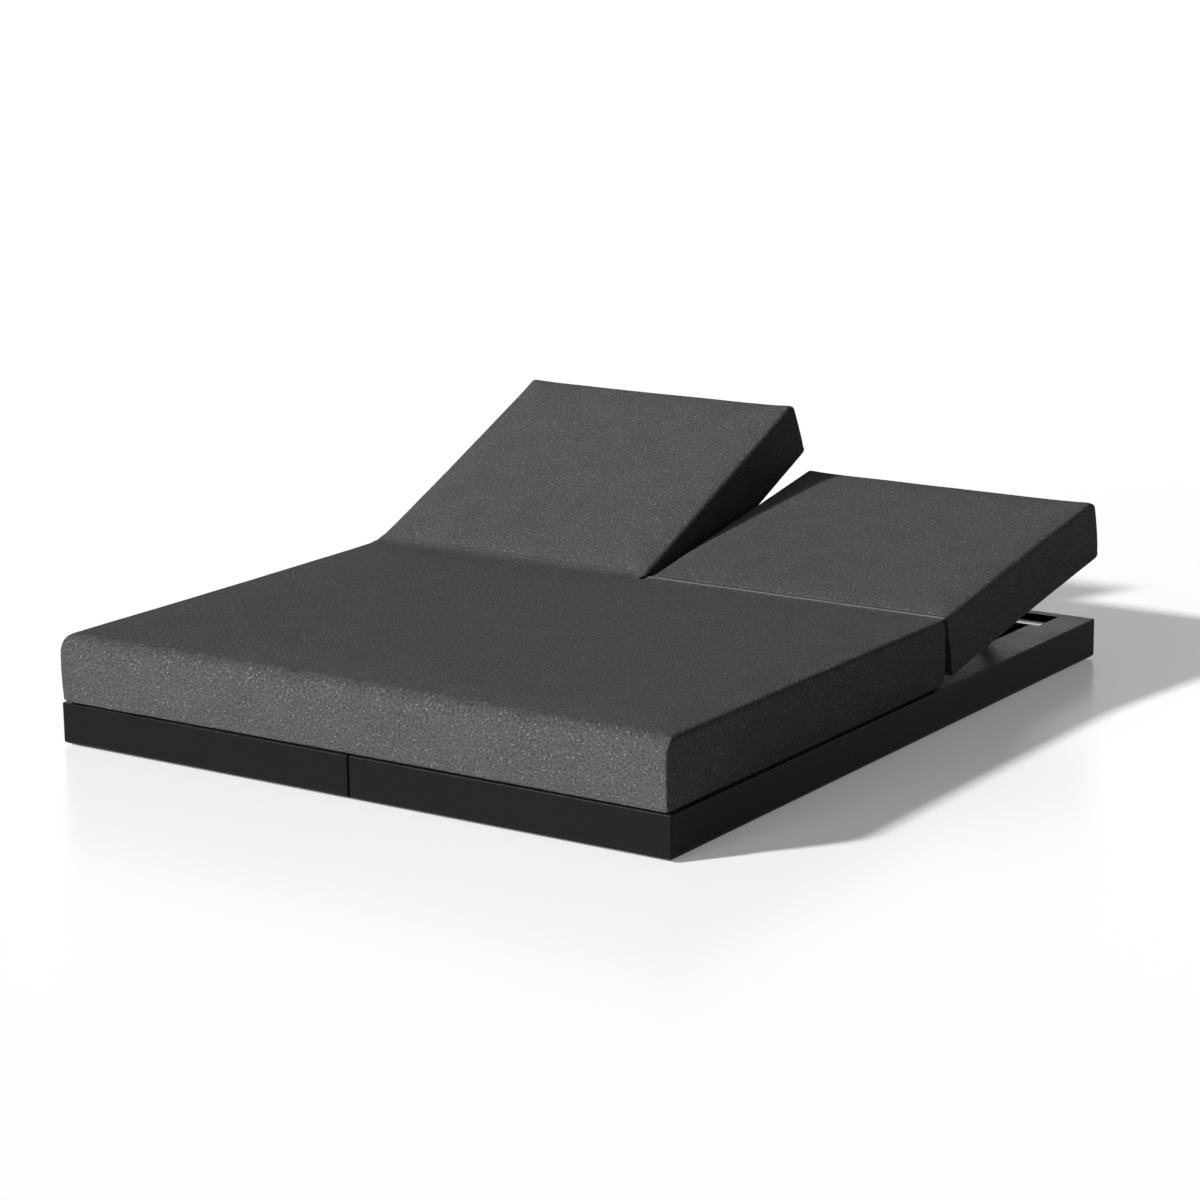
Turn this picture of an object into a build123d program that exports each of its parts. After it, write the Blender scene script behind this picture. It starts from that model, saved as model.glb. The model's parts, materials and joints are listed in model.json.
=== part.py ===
from build123d import *
from math import asin, cos, radians, sin, sqrt
import os

# A double chaise lounger: a low plinth in two halves, one full-width seat cushion and two
# backs that recline on their own. Lengths are in millimetres. +Z is up, the foot end is at
# -Y, +X is the right side seen from the foot end, and the origin lies on the floor under
# the middle of the plinth.

os.makedirs("parts", exist_ok=True)

# The whole lounger
base_width = 1800.0
base_length = 2100.0
base_height = 110.0
seat_end_y = 222.0
seat_thickness = 168.0
back_thickness = 160.0

# How far each back stands open from lying flat, and the sides that they are on
recline = {"left": radians(24.0), "right": radians(10.2)}
side_signs = {"left": -1, "right": 1}
rank_signs = {"outer": 1, "inner": -1}

# Clearances that many pieces share, and how far a cut runs past what it cuts
running_clearance = 0.05
seating_clearance = 0.3
swing_clearance = 0.5
overrun = 5.0

# Plinth halves
halves_gap = 3.0
plinth_wall = 6.0
plinth_low_round = 14.0
plinth_joint_round = 4.0
plinth_corner = 5.0
plinth_top_round = 3.0
outer_rim = 92.0
inner_rim = 60.0
back_rim = 33.0
well_setback = 20.0
well_floor = 8.0
trough_length = 78.0
trough_wall = 15.0
cell_columns = 2
cell_rows = 4
vent_radius = 4.0

# Glides under the plinth
glide_height = 3.0
glide_width = 50.0
glide_length = 120.0
glide_corner = 10.0
glide_inset = 18.0
glide_rows = 3

# Seat board, and the plates that join the halves
seat_board_thickness = 5.5
seat_board_inset = 18.0
board_screw_margin = 45.0
board_screw_rows = 3
joining_plate_width = 90.0
joining_plate_length = 110.0
joining_plate_thickness = 4.0
joining_plate_setback = 150.0
joining_plate_count = 2
joining_screw_margin = 20.0

# Countersunk screws, all alike
screw_radius = 3.0
screw_head_radius = 6.0
screw_head_angle = 90.0
screw_length = 16.0

# Rails and rest bar in each well
well_rail_width = 28.0
well_tube_wall = 2.0
rest_bar_width = 20.0
rest_bar_height = 25.0
rest_bar_gap = 2.0
rail_bolt_radius = 4.0
rail_bolt_head_radius = 7.0
rail_bolt_head_height = 4.0

# Cushions
cushion_inset = 5.0
seat_overhang = 6.0
back_overhang = 18.0
backs_gap = 5.0
cushion_crown = 4.0
cushion_draw_in = 4.0
cushion_tuck = 2.0
cushion_lean = 2.0
cushion_widest_share = 0.55
cushion_crown_shares = (0.2, 0.45, 0.8)
cushion_round_steps = 8
cushion_corner = 9.0
foot_top_round = 45.0
head_top_round = 24.0
side_top_round = 14.0
cushion_low_round = 5.0
seat_heel_round = 22.0

# Hinges between the seat and the backs
axis_depth = 8.0
leaf_width = 90.0
leaf_thickness = 3.0
leaf_flange = 40.0
leaf_screw_spacing = 50.0
leaf_margin = 120.0
knuckle_radius = 4.5
middle_knuckle = 30.0
knuckle_relief = 1.0
hinge_pin_radius = 2.5
hinge_pin_head_radius = 4.0
hinge_pin_head_height = 1.5
cover_thickness = 1.0
cover_start = -20.0
cover_turn = 165.0

# Back frames
back_tube_width = 30.0
back_tube_height = 15.0
back_tube_wall = 1.5
frame_side_inset = 45.0
frame_end_inset = 45.0
frame_recess = 11.0
recess_clearance = 2.0
slat_count = 8
slat_width = 60.0
slat_thickness = 4.0
bumper_width = 24.0
bumper_length = 16.0

# Lift frames
lift_pivot_setback = 380.0
lift_pivot_height = 65.0
lift_arm_length = 256.0
torque_tube_radius = 12.5
torque_tube_wall = 2.5
arm_thickness = 8.0
arm_hub_radius = 20.0
arm_end_radius = 12.0
roller_radius = 13.0
roller_width = 20.0
roller_gap = 2.4
roller_edge = 1.5
roller_pin_radius = 5.0
roller_pin_head_radius = 8.0
roller_pin_head_height = 1.5
bearing_thickness = 12.0
bearing_length = 96.0
bearing_height = 44.0
bearing_corner = 8.0
bearing_screw_spacing = 72.0
ratchet_radius = 26.0
ratchet_width = 17.0
ratchet_edge = 2.0

# Places in the plinth
plinth_width = (base_width - halves_gap) / 2
plinth_body_height = base_height - glide_height
base_back_y = base_length / 2
well_outer_x = base_width / 2 - outer_rim
well_middle_x = (well_outer_x + inner_rim) / 2
well_width = well_outer_x - inner_rim
well_bottom = glide_height + well_floor
well_front_y = seat_end_y + well_setback
trough_back_y = base_back_y - back_rim
trough_front_y = trough_back_y - trough_length
well_back_y = trough_front_y - trough_wall
rest_bar_y = well_back_y - rest_bar_gap - rest_bar_width / 2
rail_back_y = rest_bar_y - rest_bar_width / 2
rail_height = base_height - well_bottom
rail_middle_z = (well_bottom + base_height) / 2
rail_inner_x = inner_rim + well_rail_width
rail_outer_x = well_outer_x - well_rail_width

# Places of the cushions and the hinge line
cushion_side_x = base_width / 2 - cushion_inset
cushion_bottom = base_height + seat_board_thickness
axis_z = cushion_bottom + seat_thickness - axis_depth
seat_front_y = -base_back_y - seat_overhang
half_gap = knuckle_radius + swing_clearance
notch_depth = knuckle_radius + knuckle_relief
cover_inner = knuckle_radius + swing_clearance
cover_outer = cover_inner + cover_thickness
back_end = base_back_y + back_overhang - seat_end_y
outer_leaf_x = cushion_side_x - leaf_margin - leaf_width / 2
inner_leaf_x = backs_gap / 2 + leaf_margin + leaf_width / 2
leaf_places = {"outer": outer_leaf_x, "inner": inner_leaf_x}

# Heights in a back's own frame, below the hinge line
back_cushion_drop = axis_depth - back_thickness
slat_drop = back_cushion_drop + frame_recess - slat_thickness
track_drop = slat_drop - back_tube_height

# Places in a back frame and a lift frame
frame_low_x = backs_gap / 2 + frame_side_inset
frame_high_x = cushion_side_x - frame_side_inset
frame_width = frame_high_x - frame_low_x
frame_start = knuckle_radius
frame_end = base_back_y - frame_end_inset - seat_end_y
lift_middle_x = (rail_outer_x + rail_inner_x) / 2
lift_half = (rail_outer_x - rail_inner_x) / 2
arm_face = lift_half - bearing_thickness - ratchet_width - swing_clearance
roller_offset = arm_face + seating_clearance + roller_width / 2
lift_pivot_y = seat_end_y + lift_pivot_setback


def seam_round():
    """Round of the cushion edges at the seam, which clears the hinge cover evenly."""
    reach = cover_outer + swing_clearance
    lead = axis_depth + reach - half_gap
    return lead + sqrt(lead**2 + reach**2 - half_gap**2 - axis_depth**2)


def back_frame(side):
    """Axes of a back: x across, y from the hinge line to the head end, z out of its top."""
    angle = recline[side]
    return Plane(origin=(0, seat_end_y, axis_z), x_dir=(1, 0, 0), z_dir=(0, -sin(angle), cos(angle)))


def lift_angle(side):
    """Angle of the lift arms above the floor with their rollers just under the back."""
    angle = recline[side]
    pivot_drop = axis_z - lift_pivot_height
    contact_drop = roller_radius + roller_gap - track_drop
    rise = lift_pivot_setback * sin(angle) + pivot_drop * cos(angle) - contact_drop
    return angle + asin(rise / lift_arm_length)


def lift_frame(side):
    """Axes of a lift frame: x across, y from the pivot towards the rollers."""
    angle = lift_angle(side)
    origin = (0, lift_pivot_y, lift_pivot_height)
    return Plane(origin=origin, x_dir=(1, 0, 0), z_dir=(0, -sin(angle), cos(angle)))


def level_frame(y, z):
    """Level axes with their origin at a place along the lounger and a height."""
    return Plane(origin=(0, y, z), x_dir=(1, 0, 0), z_dir=(0, 0, 1))


def moved(frame, x, y, z):
    """The frame's axes with their origin moved to a point in that frame."""
    return Plane(origin=frame.from_local_coords((x, y, z)), x_dir=frame.x_dir, z_dir=frame.z_dir)


def across(frame, x, y, z, sign=1):
    """A plane at a point of the frame that faces along its x, or back along it if sign is -1."""
    origin = frame.from_local_coords((x, y, z))
    return Plane(origin=origin, x_dir=frame.y_dir, z_dir=frame.x_dir * sign)


def along(frame, x, y, z):
    """A plane at a point of the frame that faces back along its y and lies in its x and z."""
    return Plane(origin=frame.from_local_coords((x, y, z)), x_dir=frame.x_dir, z_dir=-frame.y_dir)


def outward(side, rank):
    """Which way along x a rank of a lift frame stands from the frame's middle, as a sign."""
    return side_signs[side] * rank_signs[rank]


def lift_x(side, rank, offset):
    """The x at an offset from a lift frame's middle towards one rank."""
    return side_signs[side] * lift_middle_x + outward(side, rank) * offset


def save(builder, name):
    """Label a finished piece and write its file."""
    builder.part.label = name
    export_step(builder.part, f"parts/{name}.step")


# Screws: each place is a plane on a face that a screw head is flush with


def board_screw_planes():
    """Places of the screws that hold the seat board to both plinth halves."""
    side_x = base_width / 2 - seat_board_inset - board_screw_margin
    front_y = seat_board_inset + board_screw_margin - base_back_y
    back_y = seat_end_y - leaf_flange - half_gap - board_screw_margin
    row_pitch = (back_y - front_y) / (board_screw_rows - 1)
    planes = []
    for row in range(board_screw_rows):
        for x in (-side_x, -board_screw_margin, board_screw_margin, side_x):
            planes.append(Plane((x, front_y + row * row_pitch, cushion_bottom)))
    return planes


def joining_plate_places():
    """Middles of the plates that join the halves, along the lounger."""
    first_y = seat_end_y + joining_plate_setback
    last_y = base_back_y - joining_plate_setback
    pitch = (last_y - first_y) / (joining_plate_count - 1)
    return [first_y + index * pitch for index in range(joining_plate_count)]


def joining_screw_planes():
    """Places of the screws in the plates that join the halves."""
    screw_x = joining_plate_width / 2 - joining_screw_margin
    screw_y = joining_plate_length / 2 - joining_screw_margin
    planes = []
    for y in joining_plate_places():
        for x in (-screw_x, screw_x):
            for shift in (-screw_y, screw_y):
                planes.append(Plane((x, y + shift, base_height + joining_plate_thickness)))
    return planes


def leaf_screw_planes(side, rank):
    """Places of the two screws in the flange of one seat hinge leaf."""
    middle_x = side_signs[side] * leaf_places[rank]
    y = seat_end_y - knuckle_radius - leaf_flange / 2
    z = base_height + leaf_thickness
    return [Plane((middle_x + shift, y, z)) for shift in (-leaf_screw_spacing / 2, leaf_screw_spacing / 2)]


def bearing_screw_planes(side, rank):
    """Places of the two screws in one lift bearing, on its face towards the well."""
    x = lift_x(side, rank, lift_half - bearing_thickness)
    frame = level_frame(lift_pivot_y, lift_pivot_height)
    spread = bearing_screw_spacing / 2
    return [across(frame, x, shift, 0, -outward(side, rank)) for shift in (-spread, spread)]


def deck_screw_planes():
    """Places of every screw that goes down into the plinth's deck."""
    planes = board_screw_planes() + joining_screw_planes()
    for side in side_signs:
        for rank in rank_signs:
            planes += leaf_screw_planes(side, rank)
    return planes


def make_screws():
    """All the countersunk screws, a separate solid each."""
    planes = deck_screw_planes()
    for side in side_signs:
        for rank in rank_signs:
            planes += bearing_screw_planes(side, rank)
    head_height = screw_head_radius - screw_radius
    with BuildPart() as screws:
        with Locations(*planes):
            Cylinder(screw_radius, screw_length, align=(Align.CENTER, Align.CENTER, Align.MAX))
            Cone(screw_radius, screw_head_radius, head_height,
                 align=(Align.CENTER, Align.CENTER, Align.MAX))
    save(screws, "countersunk_screws")


def cut_screw_seats():
    """Countersunk holes at the current places, for pieces that the screws hold."""
    CounterSinkHole(screw_radius + running_clearance, screw_head_radius + running_clearance,
                    counter_sink_angle=screw_head_angle)


# Plinth


def rail_bolt_planes(side, rank):
    """Places of the bolts through one well rail, midway between its ends and the bearing."""
    x = lift_x(side, rank, lift_half)
    front_y = (well_front_y + lift_pivot_y - bearing_length / 2) / 2
    back_y = (rail_back_y + lift_pivot_y + bearing_length / 2) / 2
    facing = -outward(side, rank)
    return [across(level_frame(y, rail_middle_z), x, 0, 0, facing) for y in (front_y, back_y)]


def plinth_front_view():
    """A plinth half from the front, with its joint face at x = 0."""
    with BuildSketch() as view:
        Rectangle(plinth_width, plinth_body_height, align=(Align.MIN, Align.MIN))
        fillet(view.vertices().sort_by_distance((0, 0))[0], plinth_joint_round)
        fillet(view.vertices().sort_by_distance((plinth_width, 0))[0], plinth_low_round)
    return view.sketch


def plinth_side_view():
    """A plinth half from its side."""
    with BuildSketch() as view:
        Rectangle(base_length, plinth_body_height, align=(Align.CENTER, Align.MIN))
        fillet(view.vertices().group_by(Axis.Y)[0], plinth_low_round)
    return view.sketch


def plinth_cells(sign):
    """Plan of the hollow cells of a plinth half, between its walls and ribs."""
    cell_width = (plinth_width - plinth_wall) / cell_columns - plinth_wall
    cell_length = (well_front_y + base_back_y - plinth_wall) / cell_rows - plinth_wall
    strip_length = base_back_y - well_front_y - plinth_wall
    strip_y = well_front_y + strip_length / 2
    with BuildSketch() as cells:
        with Locations((sign * (halves_gap + plinth_width) / 2, (well_front_y - base_back_y) / 2)):
            with GridLocations(cell_width + plinth_wall, cell_length + plinth_wall,
                               cell_columns, cell_rows):
                Rectangle(cell_width, cell_length)
        with Locations((sign * (base_width - outer_rim) / 2, strip_y)):
            Rectangle(outer_rim - 2 * plinth_wall, strip_length)
        with Locations((sign * (halves_gap / 2 + inner_rim) / 2, strip_y)):
            Rectangle(inner_rim - halves_gap / 2 - 2 * plinth_wall, strip_length)
    return cells.sketch


def plinth_pockets(sign):
    """Plan of the well and the trough in a plinth half."""
    with BuildSketch() as pockets:
        with Locations((sign * well_middle_x, (well_front_y + well_back_y) / 2)):
            Rectangle(well_width, well_back_y - well_front_y)
        with Locations((sign * well_middle_x, (trough_front_y + trough_back_y) / 2)):
            Rectangle(well_width, trough_length)
    return pockets.sketch


def make_plinth(side):
    """One moulded half: cells closed but for a vent each, a well and a trough in its deck."""
    sign = side_signs[side]
    sidewise = Plane(origin=(0, 0, glide_height), x_dir=(0, 1, 0), z_dir=(1, 0, 0))
    joint = (sign * halves_gap / 2, 0, glide_height)
    frontwise = Plane(origin=joint, x_dir=(sign, 0, 0), z_dir=(0, -sign, 0))
    cells = plinth_cells(sign)
    vents = [(cell.center().X, cell.center().Y) for cell in cells.faces()]
    screws = [plane.origin for plane in deck_screw_planes() if plane.origin.X * sign > 0]
    with BuildPart() as plinth:
        with BuildSketch(Plane.XY.offset(glide_height)):
            with Locations((sign * (halves_gap + plinth_width) / 2, 0)):
                RectangleRounded(plinth_width, base_length, plinth_corner)
        extrude(amount=plinth_body_height)
        with BuildSketch(frontwise):
            add(plinth_front_view())
        extrude(amount=base_length, both=True, mode=Mode.INTERSECT)
        with BuildSketch(sidewise):
            add(plinth_side_view())
        extrude(amount=base_width, both=True, mode=Mode.INTERSECT)
        fillet(plinth.faces().sort_by(Axis.Z)[-1].edges(), plinth_top_round)
        with BuildSketch(Plane.XY.offset(well_bottom)):
            add(plinth_pockets(sign))
        extrude(amount=rail_height + overrun, mode=Mode.SUBTRACT)
        with BuildSketch(Plane.XY.offset(glide_height + plinth_wall)):
            add(cells)
        extrude(amount=plinth_body_height - 2 * plinth_wall, mode=Mode.SUBTRACT)
        with Locations(*[(x, y, glide_height) for x, y in vents]):
            Hole(vent_radius, depth=plinth_wall + overrun)
        with Locations(*[(screw.X, screw.Y, base_height) for screw in screws]):
            Hole(screw_radius + running_clearance, depth=screw_length)
        for rank in rank_signs:
            with Locations(*rail_bolt_planes(side, rank)):
                Hole(rail_bolt_radius + running_clearance, depth=well_rail_width + plinth_wall + overrun)
    save(plinth, f"plinth_{side}")


def make_glides():
    """Rubber pads under both halves, in rows of four."""
    outer_x = base_width / 2 - glide_inset - glide_width / 2
    inner_x = halves_gap / 2 + glide_inset + glide_width / 2
    end_y = base_back_y - glide_inset - glide_length / 2
    row_pitch = 2 * end_y / (glide_rows - 1)
    places = []
    for row in range(glide_rows):
        places += [(x, row * row_pitch - end_y) for x in (-outer_x, -inner_x, inner_x, outer_x)]
    with BuildPart() as glides:
        with BuildSketch():
            with Locations(*places):
                RectangleRounded(glide_width, glide_length, glide_corner)
        extrude(amount=glide_height)
    save(glides, "glides")


def make_seat_board():
    """The thin board that carries the seat cushion and ties the halves together."""
    front_y = seat_board_inset - base_back_y
    back_y = seat_end_y - knuckle_radius - leaf_flange - seating_clearance
    with BuildPart() as board:
        with BuildSketch(Plane.XY.offset(base_height)):
            with Locations((0, (front_y + back_y) / 2)):
                Rectangle(base_width - 2 * seat_board_inset, back_y - front_y)
        extrude(amount=seat_board_thickness)
        with Locations(*board_screw_planes()):
            cut_screw_seats()
    save(board, "seat_board")


def make_joining_plates():
    """Steel plates across the joint of the halves, between the wells."""
    with BuildPart() as plates:
        with BuildSketch(Plane.XY.offset(base_height)):
            with Locations(*[(0, y) for y in joining_plate_places()]):
                Rectangle(joining_plate_width, joining_plate_length)
        extrude(amount=joining_plate_thickness)
        with Locations(*joining_screw_planes()):
            cut_screw_seats()
    save(plates, "joining_plates")


# Well


def tube_section(width, height, wall):
    """Section of a rectangular tube."""
    with BuildSketch() as section:
        Rectangle(width, height)
        Rectangle(width - 2 * wall, height - 2 * wall, mode=Mode.SUBTRACT)
    return section.sketch


def make_well_rail(side, rank):
    """One of the tubes that stand along the sides of a well."""
    x = lift_x(side, rank, lift_half + well_rail_width / 2)
    with BuildPart() as rail:
        with BuildSketch(along(level_frame(rail_back_y, rail_middle_z), x, 0, 0)):
            add(tube_section(well_rail_width, rail_height, well_tube_wall))
        extrude(amount=rail_back_y - well_front_y)
        with Locations(*rail_bolt_planes(side, rank)):
            Hole(rail_bolt_radius + running_clearance)
        with Locations(*bearing_screw_planes(side, rank)):
            Hole(screw_radius + running_clearance, depth=screw_length)
    save(rail, f"well_rail_{side}_{rank}")


def make_rail_bolts():
    """Button-head bolts through the well rails into the plinth, a separate solid each."""
    planes = []
    for side in side_signs:
        for rank in rank_signs:
            planes += rail_bolt_planes(side, rank)
    with BuildPart() as bolts:
        with Locations(*planes):
            Cylinder(rail_bolt_radius, well_rail_width + plinth_wall,
                     align=(Align.CENTER, Align.CENTER, Align.MAX))
            Cylinder(rail_bolt_head_radius, rail_bolt_head_height,
                     align=(Align.CENTER, Align.CENTER, Align.MIN))
    save(bolts, "rail_bolts")


def make_rest_bar(side):
    """The bar across a well, at the ends of its rails, that a flat back comes down on."""
    start_x = side_signs[side] * well_middle_x - well_width / 2
    frame = level_frame(rest_bar_y, base_height - rest_bar_height / 2)
    with BuildPart() as bar:
        with BuildSketch(across(frame, start_x, 0, 0)):
            add(tube_section(rest_bar_width, rest_bar_height, well_tube_wall))
        extrude(amount=well_width)
    save(bar, f"rest_bar_{side}")


# Cushions: each side has its tuck, lean, low round, top round and draw-in

foot_side = (cushion_tuck, cushion_lean, cushion_low_round, foot_top_round, cushion_draw_in)
head_side = (cushion_tuck, cushion_lean, cushion_low_round, head_top_round, cushion_draw_in)
free_side = (cushion_tuck, cushion_lean, cushion_low_round, side_top_round, cushion_draw_in)
inner_side = (0, 0, cushion_low_round, side_top_round, 0)
seam_side = (0, 0, cushion_low_round, seam_round(), 0)
heel_side = (0, 0, seat_heel_round, seam_round(), 0)


def side_inset(side, z, thickness):
    """How far a side of a cushion stands in from its widest place, at a height."""
    tuck, lean, low_round, top_round, draw_in = side
    widest = thickness * cushion_widest_share
    if z < widest:
        inset = tuck * (1 - z / widest) ** 2
    else:
        inset = lean * ((z - widest) / (thickness - widest)) ** 2
    if z < low_round:
        inset += low_round - sqrt(low_round**2 - (low_round - z) ** 2)
    rise = z - thickness + top_round
    if rise > 0:
        inset += top_round - sqrt(max(top_round**2 - rise**2, 0))
    return inset


def cushion_levels(thickness):
    """Heights of a cushion's sections, each with its share of the way in over the crown."""
    levels = []
    for step in range(cushion_round_steps + 1):
        turn = radians(90.0) * step / cushion_round_steps
        levels.append((seat_heel_round * (1 - cos(turn)), 0))
    levels.append((thickness * cushion_widest_share, 0))
    for step in range(cushion_round_steps + 1):
        turn = radians(90.0) * step / cushion_round_steps
        levels.append((thickness - foot_top_round * (1 - sin(turn)), 0))
    for share in cushion_crown_shares:
        rise = 1 - (1 - share / cushion_crown_shares[-1]) ** 2
        levels.append((thickness + cushion_crown * rise, share))
    return levels


def cushion_section(width, length, insets, draw_ins, share):
    """A level section of a cushion: foot, right, head and left side, drawn in at their middles."""
    foot, right, head, left = insets
    middle_x = (left - right) / 2
    middle_y = (foot - head) / 2
    half_x = (width - left - right) / 2 * (1 - share)
    half_y = (length - foot - head) / 2 * (1 - share)
    low_x, high_x = middle_x - half_x, middle_x + half_x
    low_y, high_y = middle_y - half_y, middle_y + half_y
    corners = [(low_x, low_y), (high_x, low_y), (high_x, high_y), (low_x, high_y)]
    foot_draw, right_draw, head_draw, left_draw = [draw_in * (1 - share) for draw_in in draw_ins]
    middles = [(middle_x, low_y + foot_draw), (high_x - right_draw, middle_y),
               (middle_x, high_y - head_draw), (low_x + left_draw, middle_y)]
    with BuildSketch() as section:
        with BuildLine():
            for index, middle in enumerate(middles):
                start = corners[index]
                end = corners[(index + 1) % len(corners)]
                if draw_ins[index] > 0:
                    ThreePointArc(start, middle, end)
                else:
                    Line(start, end)
        make_face()
        fillet(section.vertices(), cushion_corner)
    return section.sketch


def loft_cushion(frame, width, length, thickness, sides):
    """A box cushion lofted from level sections, on a frame at the middle of its underside."""
    draw_ins = [side[-1] for side in sides]
    with BuildPart() as cushion:
        for z, share in cushion_levels(thickness):
            insets = [side_inset(side, min(z, thickness), thickness) for side in sides]
            with BuildSketch(moved(frame, 0, 0, z)):
                add(cushion_section(width, length, insets, draw_ins, share))
        loft(ruled=True)
    return cushion.part


def make_seat_cushion():
    """The full-width seat cushion on its board."""
    back_y = seat_end_y - half_gap
    frame = level_frame((back_y + seat_front_y) / 2, cushion_bottom)
    sides = (foot_side, free_side, heel_side, free_side)
    form = loft_cushion(frame, 2 * cushion_side_x, back_y - seat_front_y, seat_thickness, sides)
    with BuildPart() as cushion:
        add(form)
    save(cushion, "seat_cushion")


def make_back_cushion(side):
    """One back cushion, straight along the seam and the other back, with a recess for its frame."""
    width = cushion_side_x - backs_gap / 2
    length = back_end - half_gap
    middle_x = side_signs[side] * (cushion_side_x + backs_gap / 2) / 2
    frame = moved(back_frame(side), middle_x, half_gap + length / 2, back_cushion_drop)
    if side == "right":
        sides = (seam_side, free_side, head_side, inner_side)
    else:
        sides = (seam_side, inner_side, head_side, free_side)
    recess_x = side_signs[side] * (frame_low_x + frame_high_x) / 2
    recess_width = frame_width + 2 * recess_clearance
    recess_length = overrun + frame_end + recess_clearance
    form = loft_cushion(frame, width, length, back_thickness, sides)
    with BuildPart() as cushion:
        add(form)
        with BuildSketch(moved(back_frame(side), recess_x, -overrun, back_cushion_drop - overrun)):
            Rectangle(recess_width, recess_length, align=(Align.CENTER, Align.MIN))
        extrude(amount=overrun + frame_recess, mode=Mode.SUBTRACT)
    save(cushion, f"back_cushion_{side}")


# Hinges


def make_seat_leaf(side, rank):
    """The seat's hinge leaf: a flange on the deck, an upright and the two end knuckles."""
    start_x = side_signs[side] * leaf_places[rank] - leaf_width / 2
    frame = level_frame(seat_end_y, axis_z)
    drop = base_height - axis_z
    near_y = leaf_thickness - knuckle_radius
    far_y = -knuckle_radius - leaf_flange
    end_knuckle = (leaf_width - middle_knuckle) / 2 - swing_clearance
    profile = [(near_y, 0), (near_y, drop), (far_y, drop), (far_y, drop + leaf_thickness),
               (-knuckle_radius, drop + leaf_thickness), (-knuckle_radius, 0)]
    with BuildPart() as leaf:
        with BuildSketch(across(frame, start_x, 0, 0)):
            Polygon(*profile, align=None)
        extrude(amount=leaf_width)
        with BuildSketch(across(frame, start_x + end_knuckle, 0, -notch_depth)):
            Rectangle(leaf_width, notch_depth + overrun, align=(Align.CENTER, Align.MIN))
        extrude(amount=leaf_width - 2 * end_knuckle, mode=Mode.SUBTRACT)
        for knuckle_x in (start_x, start_x + leaf_width - end_knuckle):
            with BuildSketch(across(frame, knuckle_x, 0, 0)):
                Circle(knuckle_radius)
            extrude(amount=end_knuckle)
        with BuildSketch(across(frame, start_x, 0, 0)):
            Circle(hinge_pin_radius + running_clearance)
        extrude(amount=leaf_width, mode=Mode.SUBTRACT)
        with Locations(*leaf_screw_planes(side, rank)):
            cut_screw_seats()
    save(leaf, f"seat_hinge_leaf_{side}_{rank}")


def make_back_leaf(side, rank):
    """A back's hinge leaf: a plate down to the foot rail with the middle knuckle."""
    start_x = side_signs[side] * leaf_places[rank] - leaf_width / 2
    frame = back_frame(side)
    end_notch = (leaf_width - middle_knuckle) / 2
    with BuildPart() as leaf:
        with BuildSketch(across(frame, start_x, knuckle_radius, 0)):
            Rectangle(leaf_thickness, -track_drop, align=(Align.MAX, Align.MAX))
        extrude(amount=leaf_width)
        for notch_x in (start_x, start_x + leaf_width - end_notch):
            with BuildSketch(across(frame, notch_x, 0, -notch_depth)):
                Rectangle(leaf_width, notch_depth + overrun, align=(Align.CENTER, Align.MIN))
            extrude(amount=end_notch, mode=Mode.SUBTRACT)
        with BuildSketch(across(frame, start_x + end_notch, 0, 0)):
            Circle(knuckle_radius)
        extrude(amount=middle_knuckle)
        with BuildSketch(across(frame, start_x, 0, 0)):
            Circle(hinge_pin_radius + running_clearance)
        extrude(amount=leaf_width, mode=Mode.SUBTRACT)
    save(leaf, f"back_hinge_leaf_{side}_{rank}")


def make_hinge_pins(side):
    """The headed pins of one back's two hinges, a separate solid each."""
    frame = level_frame(seat_end_y, axis_z)
    length = leaf_width + 2 * swing_clearance
    with BuildPart() as pins:
        for rank in rank_signs:
            start_x = side_signs[side] * leaf_places[rank] - length / 2
            with BuildSketch(across(frame, start_x, 0, 0)):
                Circle(hinge_pin_radius)
            extrude(amount=length)
            with BuildSketch(across(frame, start_x - hinge_pin_head_height, 0, 0),
                             across(frame, start_x + length, 0, 0)):
                Circle(hinge_pin_head_radius)
            extrude(amount=hinge_pin_head_height)
    save(pins, f"hinge_pins_{side}")


def make_hinge_cover(side):
    """The fabric strip over the hinge line of one back, which turns with it."""
    width = cushion_side_x - backs_gap / 2
    start_x = side_signs[side] * (cushion_side_x + backs_gap / 2) / 2 - width / 2
    with BuildPart() as cover:
        with BuildSketch(across(back_frame(side), start_x, 0, 0)):
            with BuildLine():
                outer = CenterArc((0, 0), cover_outer, cover_start, cover_turn)
                inner = CenterArc((0, 0), cover_inner, cover_start, cover_turn)
                Line(outer @ 0, inner @ 0)
                Line(outer @ 1, inner @ 1)
            make_face()
        extrude(amount=width)
    save(cover, f"hinge_cover_{side}")


# Back frames


def make_cross_rail(side, name, near_y):
    """A tube across the whole back frame, with its side towards the hinges at near_y."""
    start_x = side_signs[side] * (frame_low_x + frame_high_x) / 2 - frame_width / 2
    middle_y = near_y + back_tube_width / 2
    with BuildPart() as rail:
        with BuildSketch(across(back_frame(side), start_x, middle_y, track_drop + back_tube_height / 2)):
            add(tube_section(back_tube_width, back_tube_height, back_tube_wall))
        extrude(amount=frame_width)
    save(rail, f"back_{name}_{side}")


def make_back_rail(side, rank):
    """A side tube of the back frame, between its foot and head rails and over a roller."""
    x = lift_x(side, rank, roller_offset)
    length = frame_end - frame_start - 2 * back_tube_width
    end_y = frame_end - back_tube_width
    with BuildPart() as rail:
        with BuildSketch(along(back_frame(side), x, end_y, track_drop + back_tube_height / 2)):
            add(tube_section(back_tube_width, back_tube_height, back_tube_wall))
        extrude(amount=length)
    save(rail, f"back_rail_{side}_{rank}")


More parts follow.
